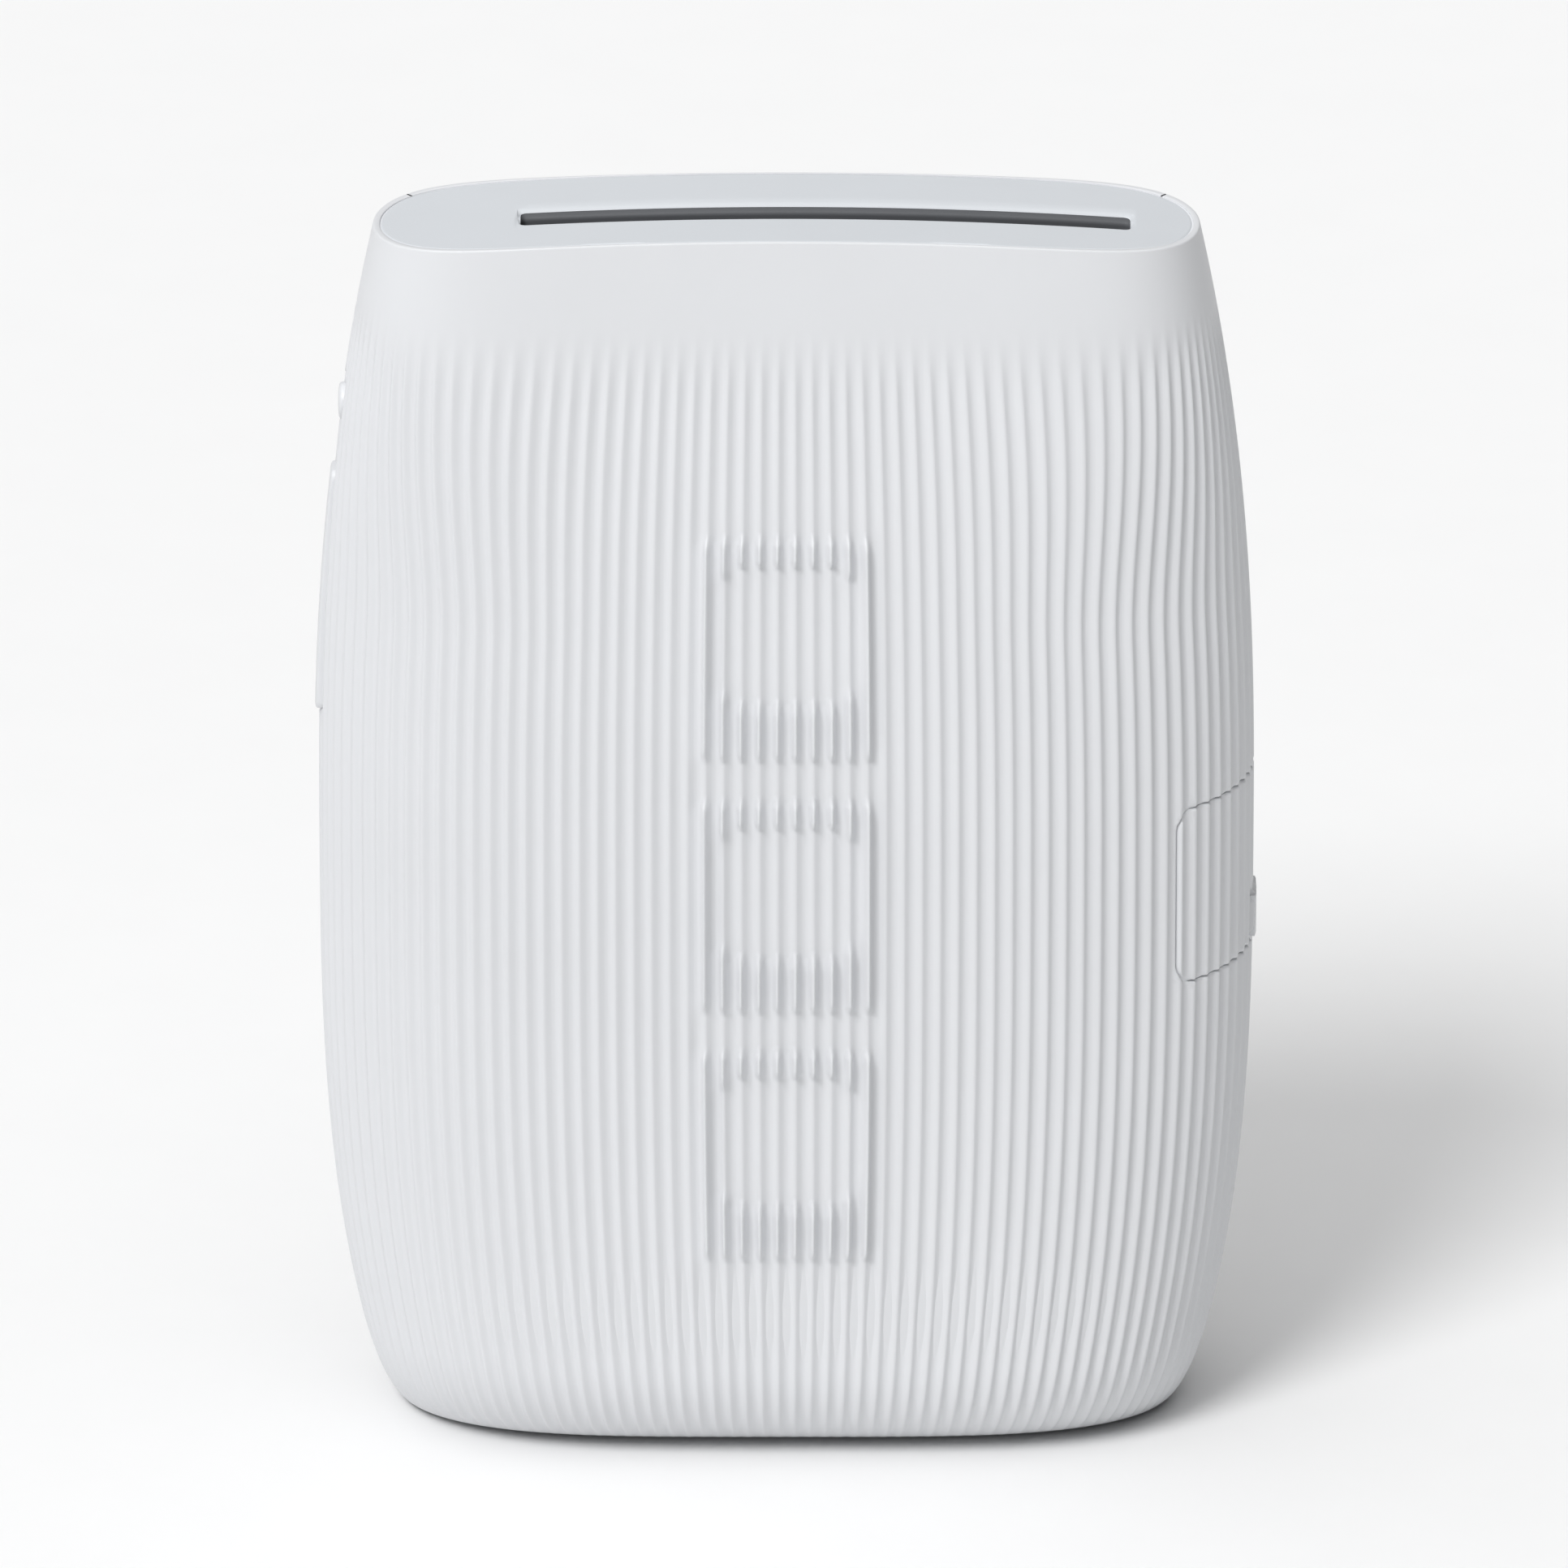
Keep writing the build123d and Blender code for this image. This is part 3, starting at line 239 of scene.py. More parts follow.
def inward(loop):
    """Unit normals of a closed loop, pointing to the left of its direction of travel."""
    ahead = np.roll(loop, -1, 0) - loop
    behind = loop - np.roll(loop, 1, 0)
    ahead /= np.linalg.norm(ahead, axis=1, keepdims=True) + 1e-12
    behind /= np.linalg.norm(behind, axis=1, keepdims=True) + 1e-12
    turn = ahead + behind
    turn /= np.linalg.norm(turn, axis=1, keepdims=True) + 1e-12
    return np.stack([-turn[:, 1], turn[:, 0]], 1)


def columns_between(start, end):
    """Flute columns between two distances, in the order from the first to the second."""
    low, high = min(start, end), max(start, end)
    first, last = math.floor(low / PITCH), math.ceil(high / PITCH)
    marks = np.array([(k + c) * PITCH for k in range(first, last + 1) for c in COLUMNS])
    marks = marks[(marks > low + 0.03) & (marks < high - 0.03)]
    return marks if end > start else marks[::-1]


def steps_between(low, high, step):
    """Even steps near a size strictly between two values."""
    count = max(int(round(abs(high - low) / step)), 1)
    return np.linspace(low, high, count + 1)[1:-1]


# Rings of points beside each edge, and how near it the grid of quads may come
LAYERS = (0.07, 0.16, 0.28, 0.42)
GRID_CLEARANCE, RING_CLEARANCE, WALL_SET_BACK = 0.62, 0.75, 0.02


def in_polygon(loop, x, y):
    """Whether each point lies inside a closed loop."""
    result = np.zeros(np.shape(x), bool)
    for (x0, y0), (x1, y1) in zip(loop, np.roll(loop, -1, 0)):
        if y0 != y1:
            result ^= ((y0 > y) != (y1 > y)) & (x < (x1 - x0) * (y - y0) / (y1 - y0) + x0)
    return result


def rim_rings(s):
    """Rings that carry the skin's top edge over the lip and down its inner side."""
    top = rim_z(s) + RIM_LIFT
    rings = []
    for degrees in (30, 60, 90):
        turn = math.radians(degrees)
        ring = place_z(s, rim_z(s), CREST - RIM_ROUND * (1 - math.cos(turn)))
        ring[:, 2] = top - RIM_ROUND * (1 - math.sin(turn))
        rings.append(ring)
    for degrees in (90, 135, 180):
        turn = math.radians(degrees)
        ring = place_z(s, np.full_like(s, HEIGHT), RIM_LEVEL + RIM_INNER * math.cos(turn))
        ring[:, 2] = top - RIM_INNER * (1 - math.sin(turn))
        rings.append(ring)
    last = rings[-1].copy()
    last[:, 2] -= RIM_WALL
    return rings + [last]


def tree_of(points):
    """Search tree of points in the plane."""
    tree = kdtree.KDTree(len(points))
    for index, point in enumerate(points):
        tree.insert((point[0], point[1], 0), index)
    tree.balance()
    return tree


def cell_border(cells, number):
    """Edges between the kept cells of the grid and what lies beside them."""
    border = set()
    full = np.pad(cells, 1)
    for i, j in zip(*np.nonzero(cells)):
        for (ni, nj), (a, b) in (((i, j + 1), (number[i, j], number[i, j + 1])),
                                 ((i + 2, j + 1), (number[i + 1, j], number[i + 1, j + 1])),
                                 ((i + 1, j), (number[i, j], number[i + 1, j])),
                                 ((i + 1, j + 2), (number[i, j + 1], number[i + 1, j + 1]))):
            if not full[ni, nj]:
                border.add((a, b))
    return border


def ring_level(full_levels, distance, edge_radius, edge_level):
    """Levels of a ring at a distance from the edge, rounded down to the edge's own level."""
    drop = edge_radius - math.sqrt(max(edge_radius ** 2 - max(edge_radius - distance, 0) ** 2, 0))
    levels = full_levels - drop
    if edge_level is None:
        return levels
    return np.full(len(levels), edge_level) if distance == 0.0 else np.maximum(levels, edge_level)


def add_walls(verts, faces, ids, rings, chosen):
    """Joins an edge to rings of points in turn, along the stretches that are chosen."""
    previous = ids
    for ring in rings:
        start = len(verts)
        verts.extend(ring)
        current = list(range(start, start + len(ring)))
        for k in range(len(ids)):
            after = (k + 1) % len(ids)
            if chosen[k]:
                faces.append((previous[after], previous[k], current[k], current[after]))
        previous = current


def skin(name, loops, rows, columns, level_of, radii=(0.3,), depths=((-0.1, -0.6),),
         edge_level=EDGE_LEVEL, put=place, rim=True):
    """Thin sheet over a region of the (s, v) plane, with rounded edges turned inwards.

    The first loop is the outside, the others are holes, and all run with the region on their left.
    Each loop has its own edge radius and wall depths; the last ones given serve all further loops.
    """
    radii = list(radii) + [radii[-1]] * (len(loops) - len(radii))
    depths = list(depths) + [depths[-1]] * (len(loops) - len(depths))

    def rim_points(loop):
        return rim & (np.abs(loop[:, 1] - v_at(rim_z(loop[:, 0]) - RIM_DROP)) < 1e-3)

    def inside(x, y):
        result = in_polygon(loops[0], x, y)
        for hole in loops[1:]:
            result &= ~in_polygon(hole, x, y)
        return result

    # Quads on the grid, wherever it keeps clear of the edges
    rows, columns = np.asarray(rows), np.asarray(columns)
    grid_s, grid_v = np.meshgrid(columns, rows)
    tree = tree_of(np.concatenate(loops))
    keep = inside(grid_s, grid_v)
    for i, j in zip(*np.nonzero(keep)):
        if tree.find((grid_s[i, j], grid_v[i, j], 0))[2] < GRID_CLEARANCE:
            keep[i, j] = False
    cells = keep[:-1, :-1] & keep[1:, :-1] & keep[:-1, 1:] & keep[1:, 1:]
    used = np.zeros_like(keep)
    for di in (0, 1):
        for dj in (0, 1):
            used[di:used.shape[0] - 1 + di, dj:used.shape[1] - 1 + dj] |= cells
    number = -np.ones(keep.shape, int)
    number[used] = np.arange(used.sum())
    points_2d = list(zip(grid_s[used], grid_v[used]))
    levels = list(level_of(grid_s[used], grid_v[used]))
    faces = [(number[i, j], number[i, j + 1], number[i + 1, j + 1], number[i + 1, j])
             for i, j in zip(*np.nonzero(cells))]

    # Points of the stitching zone: the grid's border, then each edge with its rings
    border = cell_border(cells, number)
    owners = sorted({index for edge in border for index in edge})
    local = {index: k for k, index in enumerate(owners)}
    coords = [Vector(points_2d[index]) for index in owners]
    constraints = [(local[a], local[b]) for a, b in border]
    loop_ids = []
    for loop, edge_radius in zip(loops, radii):
        normals = inward(loop)
        on_rim = rim_points(loop)
        for distance in (0.0,) + LAYERS:
            ring = loop + normals * distance
            full_levels = level_of(ring[:, 0], ring[:, 1])
            ring_levels = np.where(on_rim, full_levels,
                                   ring_level(full_levels, distance, edge_radius, edge_level))
            ids = []
            for k, point in enumerate(ring):
                if distance > 0 and tree.find((point[0], point[1], 0))[2] < distance * RING_CLEARANCE:
                    continue
                ids.append(len(points_2d))
                points_2d.append(tuple(point))
                levels.append(ring_levels[k])
                owners.append(ids[-1])
                coords.append(Vector(point))
            if distance == 0.0:
                loop_ids.append(ids)
                first = len(coords) - len(ids)
                constraints += [(first + k, first + (k + 1) % len(ids)) for k in range(len(ids))]

    # Triangles of the stitching zone, kept where they are inside the region and off the quads
    out_coords, _, out_faces, origins, _, _ = geometry.delaunay_2d_cdt(
        coords, constraints, [], 0, 1e-7, True)
    to_global = []
    for point, origin in zip(out_coords, origins):
        if origin:
            to_global.append(owners[origin[0]])
        else:
            to_global.append(len(points_2d))
            points_2d.append((point[0], point[1]))
            levels.append(float(level_of(np.array([point[0]]), np.array([point[1]]))[0]))
    centres = np.array([[sum(out_coords[i][0] for i in face) / 3, sum(out_coords[i][1] for i in face) / 3]
                        for face in out_faces])
    within = inside(centres[:, 0], centres[:, 1])
    column = np.searchsorted(columns, centres[:, 0]) - 1
    row = np.searchsorted(rows, centres[:, 1]) - 1
    on_grid = (column >= 0) & (row >= 0) & (column < cells.shape[1]) & (row < cells.shape[0])
    covered = np.zeros(len(centres), bool)
    covered[on_grid] = cells[row[on_grid], column[on_grid]]
    faces += [tuple(to_global[i] for i in face) for face, good in zip(out_faces, within & ~covered) if good]

    # Walls: each edge turns into the gap beside the shell, and a top edge runs over the lip
    points = np.array(points_2d)
    verts = list(put(points[:, 0], points[:, 1], np.array(levels)))
    for loop, ids, wall in zip(loops, loop_ids, depths):
        on_rim = rim_points(loop)
        over_lip = on_rim & np.roll(on_rim, -1)
        outward = loop - inward(loop) * WALL_SET_BACK
        add_walls(verts, faces, ids, [put(outward[:, 0], outward[:, 1], level) for level in wall], ~over_lip)
        if on_rim.any():
            add_walls(verts, faces, ids, rim_rings(loop[:, 0]), over_lip)
    return new_object(name, verts, faces)


def path(*runs):
    """Closed loop from runs of points, dropping repeated ends."""
    points = np.concatenate(runs)
    far = np.linalg.norm(points - np.roll(points, 1, 0), axis=1) > 1e-4
    return points[far]


def vertical(axis, value, z_low, z_high, s_low, s_high, step=0.45):
    """Edge where x or y is constant, as points from one height to another."""
    v = np.concatenate([[v_at(z_low)], steps_between(v_at(z_low), v_at(z_high), step), [v_at(z_high)]])
    return np.stack([s_where(axis, value, z_at(v), s_low, s_high), v], 1)


def level_edge(z, s_start, s_end):
    """Edge at one height, with a point on every flute column."""
    marks = np.concatenate([[s_start], columns_between(s_start, s_end), [s_end]])
    return np.stack([marks, np.full_like(marks, float(v_at(z)))], 1)


QUARTER = GIRTH / 4
FOOT_Z = 0.12


# ---- Skins of the front shell, rear shell, door and port cover ----------------------------
def parting(low_s, high_s, inset):
    """Seam between the shells on one side, upwards, set back by half the seam."""
    top = float(rim_z(s_where(1, PART_LINE_Y, HEIGHT, low_s, high_s))[0]) - RIM_DROP
    return vertical(1, PART_LINE_Y + inset, FOOT_Z, top, low_s, high_s, 0.6)


def top_edge(s_start, s_end):
    """Edge below the lip, with a point on every flute column."""
    marks = np.concatenate([[s_start], columns_between(s_start, s_end), [s_end]])
    return np.stack([marks, v_at(rim_z(marks) - RIM_DROP)], 1)


def rounded_window(left, right, low, high, radius, arc_steps=7):
    """Closed loop round a window with rounded corners; left and right give s at a height."""
    loop = []
    corners = ((left, low, 1, 180, 270), (right, low, -1, 270, 360), (right, high, -1, 0, 90),
               (left, high, 1, 90, 180))
    for number, (side, edge, sign, start, end) in enumerate(corners):
        up = 1 if edge == low else -1
        for step in range(arc_steps + 1):
            turn = math.radians(start + (end - start) * step / arc_steps)
            z = edge + up * radius + radius * math.sin(turn)
            loop.append((side(z) + sign * radius + radius * math.cos(turn), float(v_at(z))))
        after = corners[(number + 1) % 4]
        if number in (0, 2):
            ends = (side(edge) + sign * radius, after[0](edge) + after[2] * radius)
            loop += [(s, float(v_at(edge))) for s in columns_between(*ends)]
        else:
            for z in steps_between(edge + up * radius, after[1] - up * radius, 0.5):
                loop.append((side(z), float(v_at(z))))
    return np.array(loop)


def edge_rows(*spans):
    """Rows of v from spans (low z, high z, step)."""
    rows = []
    for low, high, step in spans:
        low_v, high_v = float(v_at(low)), float(v_at(high))
        count = max(int(round((high_v - low_v) / step)), 1)
        rows += list(np.linspace(low_v, high_v, count + 1)[:-1])
    return np.array(rows)


SEAM = 0.06
PORT_FRONT_X, PORT_REAR_Y, PORT_LOW_Z, PORT_HIGH_Z = 37.3, 5.6, 48.8, 67.0
PORT_RADIUS, PORT_GAP = 2.0, 0.12
TRACK_HALF, TRACK_LOW, TRACK_HIGH = 2.75, 72.3, 107.2
DOOR_LEFT, DOOR_RIGHT, DOOR_BOTTOM, DOOR_TOP = -29.0, 36.4, 9.0, 108.0
DOOR_GAP, DOOR_TOP_GAP, DOOR_FOOT_GAP = 0.15, 0.3, 0.65
POSTS = [(-36.5, 30.0), (-36.5, 66.0), (39.6, 30.0), (39.4, 80.0)]
POST_HOLE_RADIUS, POST_HOLE_POINTS = 1.72, 28


def port_side(axis, value, low, high):
    """Upright side of the port window, as s at a height."""
    table_z = np.linspace(PORT_LOW_Z - 1, PORT_HIGH_Z + 1, 24)
    table_s = s_where(axis, value, table_z, low, high)
    return lambda z: float(np.interp(z, table_z, table_s))


def port_window(gap):
    """Closed loop of the port window, set in by a gap."""
    left = port_side(0, PORT_FRONT_X + gap, 0, QUARTER)
    right = port_side(1, PORT_REAR_Y - gap, QUARTER, 2 * QUARTER)
    return rounded_window(left, right, PORT_LOW_Z + gap, PORT_HIGH_Z - gap, PORT_RADIUS - gap)


def side_window(half, low, high, radius, arc_steps):
    """Closed loop round a window on the line down the middle of the left side."""
    return rounded_window(lambda z: -QUARTER - half, lambda z: -QUARTER + half, low, high, radius, arc_steps)


right_seam = parting(QUARTER, 2 * QUARTER, -SEAM)
left_seam = parting(-2 * QUARTER, -QUARTER, -SEAM)
front_outer = path(level_edge(FOOT_Z, left_seam[0, 0], right_seam[0, 0]), right_seam,
                   top_edge(right_seam[-1, 0], left_seam[-1, 0]), left_seam[::-1])
card_rows = []
below = 21.0
for centre in CARD_CENTRES:
    low, high = centre - CARD_HEIGHT / 2, centre + CARD_HEIGHT / 2
    card_rows += [(below, low - 0.6, 1.2), (low - 0.6, low + 3.0, 0.5),
                  (low + 3.0, centre + WINDOW_LOW - 0.6, 1.0),
                  (centre + WINDOW_LOW - 0.6, centre + WINDOW_LOW + 2.0, 0.5),
                  (centre + WINDOW_LOW + 2.0, centre + WINDOW_HIGH - 2.0, 1.3),
                  (centre + WINDOW_HIGH - 2.0, high + 0.6, 0.5)]
    below = high + 0.6
front_rows = edge_rows((0.1, ROUND_HEIGHT, 0.85), (ROUND_HEIGHT, 21.0, 1.1), *card_rows,
                       (below, FADE_LOW_Z, 1.2), (FADE_LOW_Z, HEIGHT, 0.9))
front_columns = columns_between(left_seam[:, 0].min() - 1, right_seam[:, 0].max() + 1)
track_loop = side_window(TRACK_HALF, TRACK_LOW, TRACK_HIGH, TRACK_HALF - 0.01, 10)
front_skin = skin("front_flutes", [front_outer, port_window(0.0)[::-1], track_loop[::-1]],
                  front_rows, front_columns, flute_level)

right_back = parting(QUARTER, 2 * QUARTER, SEAM)
left_back = parting(2 * QUARTER, 3 * QUARTER, SEAM)


def door_sides(gap, low, high):
    """Upright edges of the door or its window: the right-hand one and the left-hand one."""
    return (vertical(0, DOOR_RIGHT - gap, low, high, QUARTER, 2 * QUARTER),
            vertical(0, DOOR_LEFT + gap, low, high, 2 * QUARTER, 3 * QUARTER))


def screw_hole(x, z):
    """Closed loop round a screw recess that runs straight in from the back."""
    side = (QUARTER, 2 * QUARTER) if x > 0 else (2 * QUARTER, 3 * QUARTER)
    loop = []
    for step in range(POST_HOLE_POINTS):
        turn = math.tau * step / POST_HOLE_POINTS
        across, level = x + POST_HOLE_RADIUS * math.cos(turn), z + POST_HOLE_RADIUS * math.sin(turn)
        loop.append((float(s_where(0, across, level, *side)[0]), float(v_at(level))))
    return np.array(loop)


rear_outer = path(level_edge(FOOT_Z, right_back[0, 0], left_back[0, 0]), left_back,
                  top_edge(left_back[-1, 0], right_back[-1, 0]), right_back[::-1])
back_columns = columns_between(right_back[:, 0].min() - 1, left_back[:, 0].max() + 1)
back_rows = edge_rows((0.1, ROUND_HEIGHT, 0.9), (ROUND_HEIGHT, FADE_LOW_Z, 1.5), (FADE_LOW_Z, HEIGHT, 1.0))
near, far = door_sides(0.0, DOOR_BOTTOM, DOOR_TOP)
door_window = path(level_edge(DOOR_BOTTOM, near[0, 0], far[0, 0]), far,
                   level_edge(DOOR_TOP, far[-1, 0], near[-1, 0]), near[::-1])
rear_skin = skin("rear_flutes", [rear_outer, door_window[::-1]]
                 + [screw_hole(x, z) for x, z in POSTS], back_rows, back_columns, flute_level)


# ---- Door, with notches for the hinge ears ---------------------------------------------------
HINGE_Y, HINGE_Z, DOOR_SWEEP = 17.4, 10.4, 1.26
EARS, NOTCH_HALF, NOTCH_TOP = (15.4, -8.0), 1.4, 12.0


def door_level(s, v):
    """Flutes, held back near the hinge so that the lower edge turns clear of the shell."""
    z = z_at(v)
    reach = np.sqrt(np.maximum(DOOR_SWEEP ** 2 - np.maximum(HINGE_Z - z, 0) ** 2, 0.01))
    room = HINGE_Y + reach - section(z)[1]
    return np.where(z < HINGE_Z, np.minimum(flute_level(s, v), room), flute_level(s, v))


door_low, door_high = DOOR_BOTTOM + DOOR_FOOT_GAP, DOOR_TOP - DOOR_TOP_GAP
near, far = door_sides(DOOR_GAP, door_low, door_high)
bottom_runs = []
reached = near[0, 0]
for ear in EARS:
    rise, fall = (vertical(0, x, door_low, NOTCH_TOP, QUARTER, 3 * QUARTER)
                  for x in (ear + NOTCH_HALF, ear - NOTCH_HALF))
    fall = fall[::-1]
    bottom_runs += [level_edge(door_low, reached, rise[0, 0]), rise,
                    level_edge(NOTCH_TOP, rise[-1, 0], fall[0, 0]), fall]
    reached = fall[-1, 0]
door_loop = path(*bottom_runs, level_edge(door_low, reached, far[0, 0]), far,
                 level_edge(door_high, far[-1, 0], near[-1, 0]), near[::-1])
door_columns = columns_between(near[:, 0].min() - 1, far[:, 0].max() + 1)
door_rows = edge_rows((door_low, 13.0, 0.6), (13.0, door_high, 1.6))
door_skin = skin("door_flutes", [door_loop], door_rows, door_columns, door_level, rim=False)

# ---- Port cover, with a finger nub at its lower end --------------------------------------------
NUB_HALF, NUB_LOW, NUB_HIGH, NUB_LEVEL, NUB_RADIUS, NUB_SLOPE = 2.9, 49.1, 54.0, 0.74, 1.2, 0.4


def port_level(s, v):
    """Flutes, with the nub standing over them."""
    middle, half = (NUB_LOW + NUB_HIGH) / 2, (NUB_HIGH - NUB_LOW) / 2
    nub = rounded_box(s - QUARTER, z_at(v) - middle, NUB_HALF, half, NUB_RADIUS)
    return np.maximum(flute_level(s, v), NUB_LEVEL * smooth(-nub / NUB_SLOPE))


port_loop = port_window(PORT_GAP)
port_columns = columns_between(port_loop[:, 0].min() - 1, port_loop[:, 0].max() + 1)
port_rows = edge_rows((PORT_LOW_Z, 56.0, 0.4), (56.0, PORT_HIGH_Z, 1.2))
port_skin = skin("port_cover_flutes", [port_loop], port_rows, port_columns, port_level, rim=False)

# ---- Latch plate and power button on the left ---------------------------------------------------
LATCH_LOW_Z, LATCH_HIGH_Z, LATCH_HALF, LATCH_RADIUS = 72.85, 97.55, 2.35, 1.0
LATCH_FOOT_LEVEL, LATCH_TOP_LEVEL = 0.84, 0.60
STEM = ((-44.0, -40.4), (-1.0, 1.0), (76.5, 92.5))


def latch_level(s, v):
    """A little prouder at the foot."""
    share = np.clip((z_at(v) - LATCH_LOW_Z) / (LATCH_HIGH_Z - LATCH_LOW_Z), 0, 1)
    return LATCH_FOOT_LEVEL + (LATCH_TOP_LEVEL - LATCH_FOOT_LEVEL) * share


latch_loop = side_window(LATCH_HALF, LATCH_LOW_Z, LATCH_HIGH_Z, LATCH_RADIUS, 8)
latch_face = skin("latch_plate", [latch_loop], edge_rows((LATCH_LOW_Z, LATCH_HIGH_Z, 0.8)),
                  np.linspace(-QUARTER - 2.4, -QUARTER + 2.4, 9), latch_level, radii=(0.35,),
                  depths=((0.0,),), rim=False)

# The stem that joins the plate to the hook inside
stem_mesh = bmesh.new()
stem_mesh.from_mesh(latch_face.data)
stem_verts = [stem_mesh.verts.new((x * MM, y * MM, z * MM))
              for x in STEM[0] for y in STEM[1] for z in STEM[2]]
for quad in ((0, 1, 3, 2), (4, 6, 7, 5), (0, 4, 5, 1), (2, 3, 7, 6), (0, 2, 6, 4), (1, 5, 7, 3)):
    stem_mesh.faces.new([stem_verts[index] for index in quad])
stem_mesh.to_mesh(latch_face.data)
stem_mesh.free()

BUTTON_Z, BUTTON_R, BUTTON_STEPS = 104.2, 1.85, 48
BUTTON_PROFILE = ((0.0, 0.64), (0.7, 0.63), (1.25, 0.60), (1.55, 0.54), (1.74, 0.43), (1.82, 0.3),
                  (BUTTON_R, 0.1), (BUTTON_R, -1.2), (BUTTON_R + 0.7, -1.2), (BUTTON_R + 0.7, -1.8),
                  (1.2, -1.8), (1.2, -2.6), (0.0, -2.6))
button_verts, button_faces = [], []
for radius, level in BUTTON_PROFILE:
    centre = place_z(np.array([-QUARTER]), np.array([BUTTON_Z]), np.array([level]))[0]
    for step in range(BUTTON_STEPS):
        turn = math.tau * step / BUTTON_STEPS
        button_verts.append((centre[0], radius * math.cos(turn), BUTTON_Z + radius * math.sin(turn)))
for ring in range(len(BUTTON_PROFILE) - 1):
    low, high = ring * BUTTON_STEPS, (ring + 1) * BUTTON_STEPS
    for step in range(BUTTON_STEPS):
        after = (step + 1) % BUTTON_STEPS
        button_faces.append((low + step, low + after, high + after, high + step))
button_dome = new_object("power_button_face", button_verts, button_faces)
weld = button_dome.modifiers.new("weld", "WELD")
weld.merge_threshold = 0.000005

# ---- Top cap -----------------------------------------------------------------------------------
SLOT_X, SLOT_Y, SLOT_HALF_X, SLOT_HALF_Y, SLOT_RADIUS = 3.7, -0.9, 29.1, 1.78, 0.6
CAP_SEAM, CAP_LIFT, TICK_X, TICK_HALF, TICK_GAP, TICK_SLOPE = 0.13, 0.10, 16.5, 2.75, 0.22, 0.3
BEVEL, BEVEL_DROP = 0.65, 0.22
CHUTE_TOP_Z, CHUTE_WALL, CHUTE_Z = 122.0, 1.2, 117.2


def cap_point(x, y, level):
    """Point of the arched cap, raised by a level."""
    x, y, level = np.broadcast_arrays(x, y, level)
    return np.stack([x, y, HEIGHT + CAP_LIFT - TOP_SAG * (x / SAG_HALF) ** 2 + level], -1)


def cap_level(x, y):
    """Flat apart from a bevel behind the slot."""
    beyond = np.maximum(y - SLOT_Y - SLOT_HALF_Y, np.abs(x - SLOT_X) - SLOT_HALF_X)
    behind = np.where(y > SLOT_Y, 1.0, 0.0)
    return -BEVEL_DROP * behind * np.clip(1 - beyond / BEVEL, 0, 1)


# The seam round the cap widens at two ticks on the front
rim_s = np.linspace(0, GIRTH, 481)[:-1]
cap_loop = place_z(rim_s, np.full_like(rim_s, HEIGHT), RIM_LEVEL - RIM_INNER - CAP_SEAM)[:, :2]
tick = smooth((TICK_HALF - np.abs(np.abs(cap_loop[:, 0]) - TICK_X)) / TICK_SLOPE + 0.5)
cap_loop[:, 1] += np.where(cap_loop[:, 1] < 0, TICK_GAP * tick, 0)


def rectangle(half_x, half_y, radius, step):
    """Closed loop round the film slot, anticlockwise from above."""
    loop = []
    for sign_x, sign_y, start in ((1, 1, 0), (-1, 1, 90), (-1, -1, 180), (1, -1, 270)):
        for part in range(7):
            turn = math.radians(start + 15 * part)
            loop.append((SLOT_X + sign_x * (half_x - radius) + radius * math.cos(turn),
                         SLOT_Y + sign_y * (half_y - radius) + radius * math.sin(turn)))
        if sign_x == sign_y:
            run = steps_between(-half_x + radius, half_x - radius, step)
            run = run[::-1] if sign_y > 0 else run
            loop += [(SLOT_X + x, SLOT_Y + sign_y * half_y) for x in run]
    return np.array(loop)


slot_loop = rectangle(SLOT_HALF_X, SLOT_HALF_Y, SLOT_RADIUS, 0.8)
cap_rows = np.array([-7.0, -5.6, -4.2, SLOT_Y - SLOT_HALF_Y - 0.9, SLOT_Y, SLOT_Y + SLOT_HALF_Y + BEVEL,
                     2.8, 4.2, 5.6, 7.0])
cap_columns = np.sort(np.concatenate([np.linspace(-37, 37, 60), [SLOT_X - SLOT_HALF_X - BEVEL,
                                                                SLOT_X + SLOT_HALF_X + BEVEL]]))
cap_face = skin("cap_face", [cap_loop, slot_loop[::-1]], cap_rows, cap_columns, cap_level,
                radii=(0.1, 0.24), depths=((-0.1, -0.3), (-0.27, -1.2, CHUTE_Z - HEIGHT)),
                edge_level=None, put=cap_point, rim=False)

# The chute below the slot: a ring of four walls, open at its foot for the film
chute_verts, chute_faces = [], []
for wall, z in ((0, CHUTE_TOP_Z), (0, CHUTE_Z), (CHUTE_WALL, CHUTE_Z), (CHUTE_WALL, CHUTE_TOP_Z)):
    chute_verts += [(SLOT_X + a * (SLOT_HALF_X + wall), SLOT_Y + b * (SLOT_HALF_Y + wall), z)
                    for a, b in ((1, 1), (-1, 1), (-1, -1), (1, -1))]
for ring in range(4):
    for step in range(4):
        after, above = (step + 1) % 4, (ring + 1) % 4
        chute_faces.append((ring * 4 + step, ring * 4 + after, above * 4 + after, above * 4 + step))
chute = new_object("cap_chute", chute_verts, chute_faces, smooth_faces=False)

PIECES = ((front_skin, "case", "white_shell"), (rear_skin, "case", "white_shell"),
          (door_skin, "door", "white_shell"), (port_skin, "port_flap", "white_shell"),
          (latch_face, "latch", "white_trim"), (button_dome, "button", "white_trim"),
          (cap_face, "case", "grey_cap"), (chute, "case", "grey_cap"))
for piece, body, slot_name in PIECES:
    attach(piece, body)
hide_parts("top_cap")
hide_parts("latch_slider")
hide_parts("power_button")


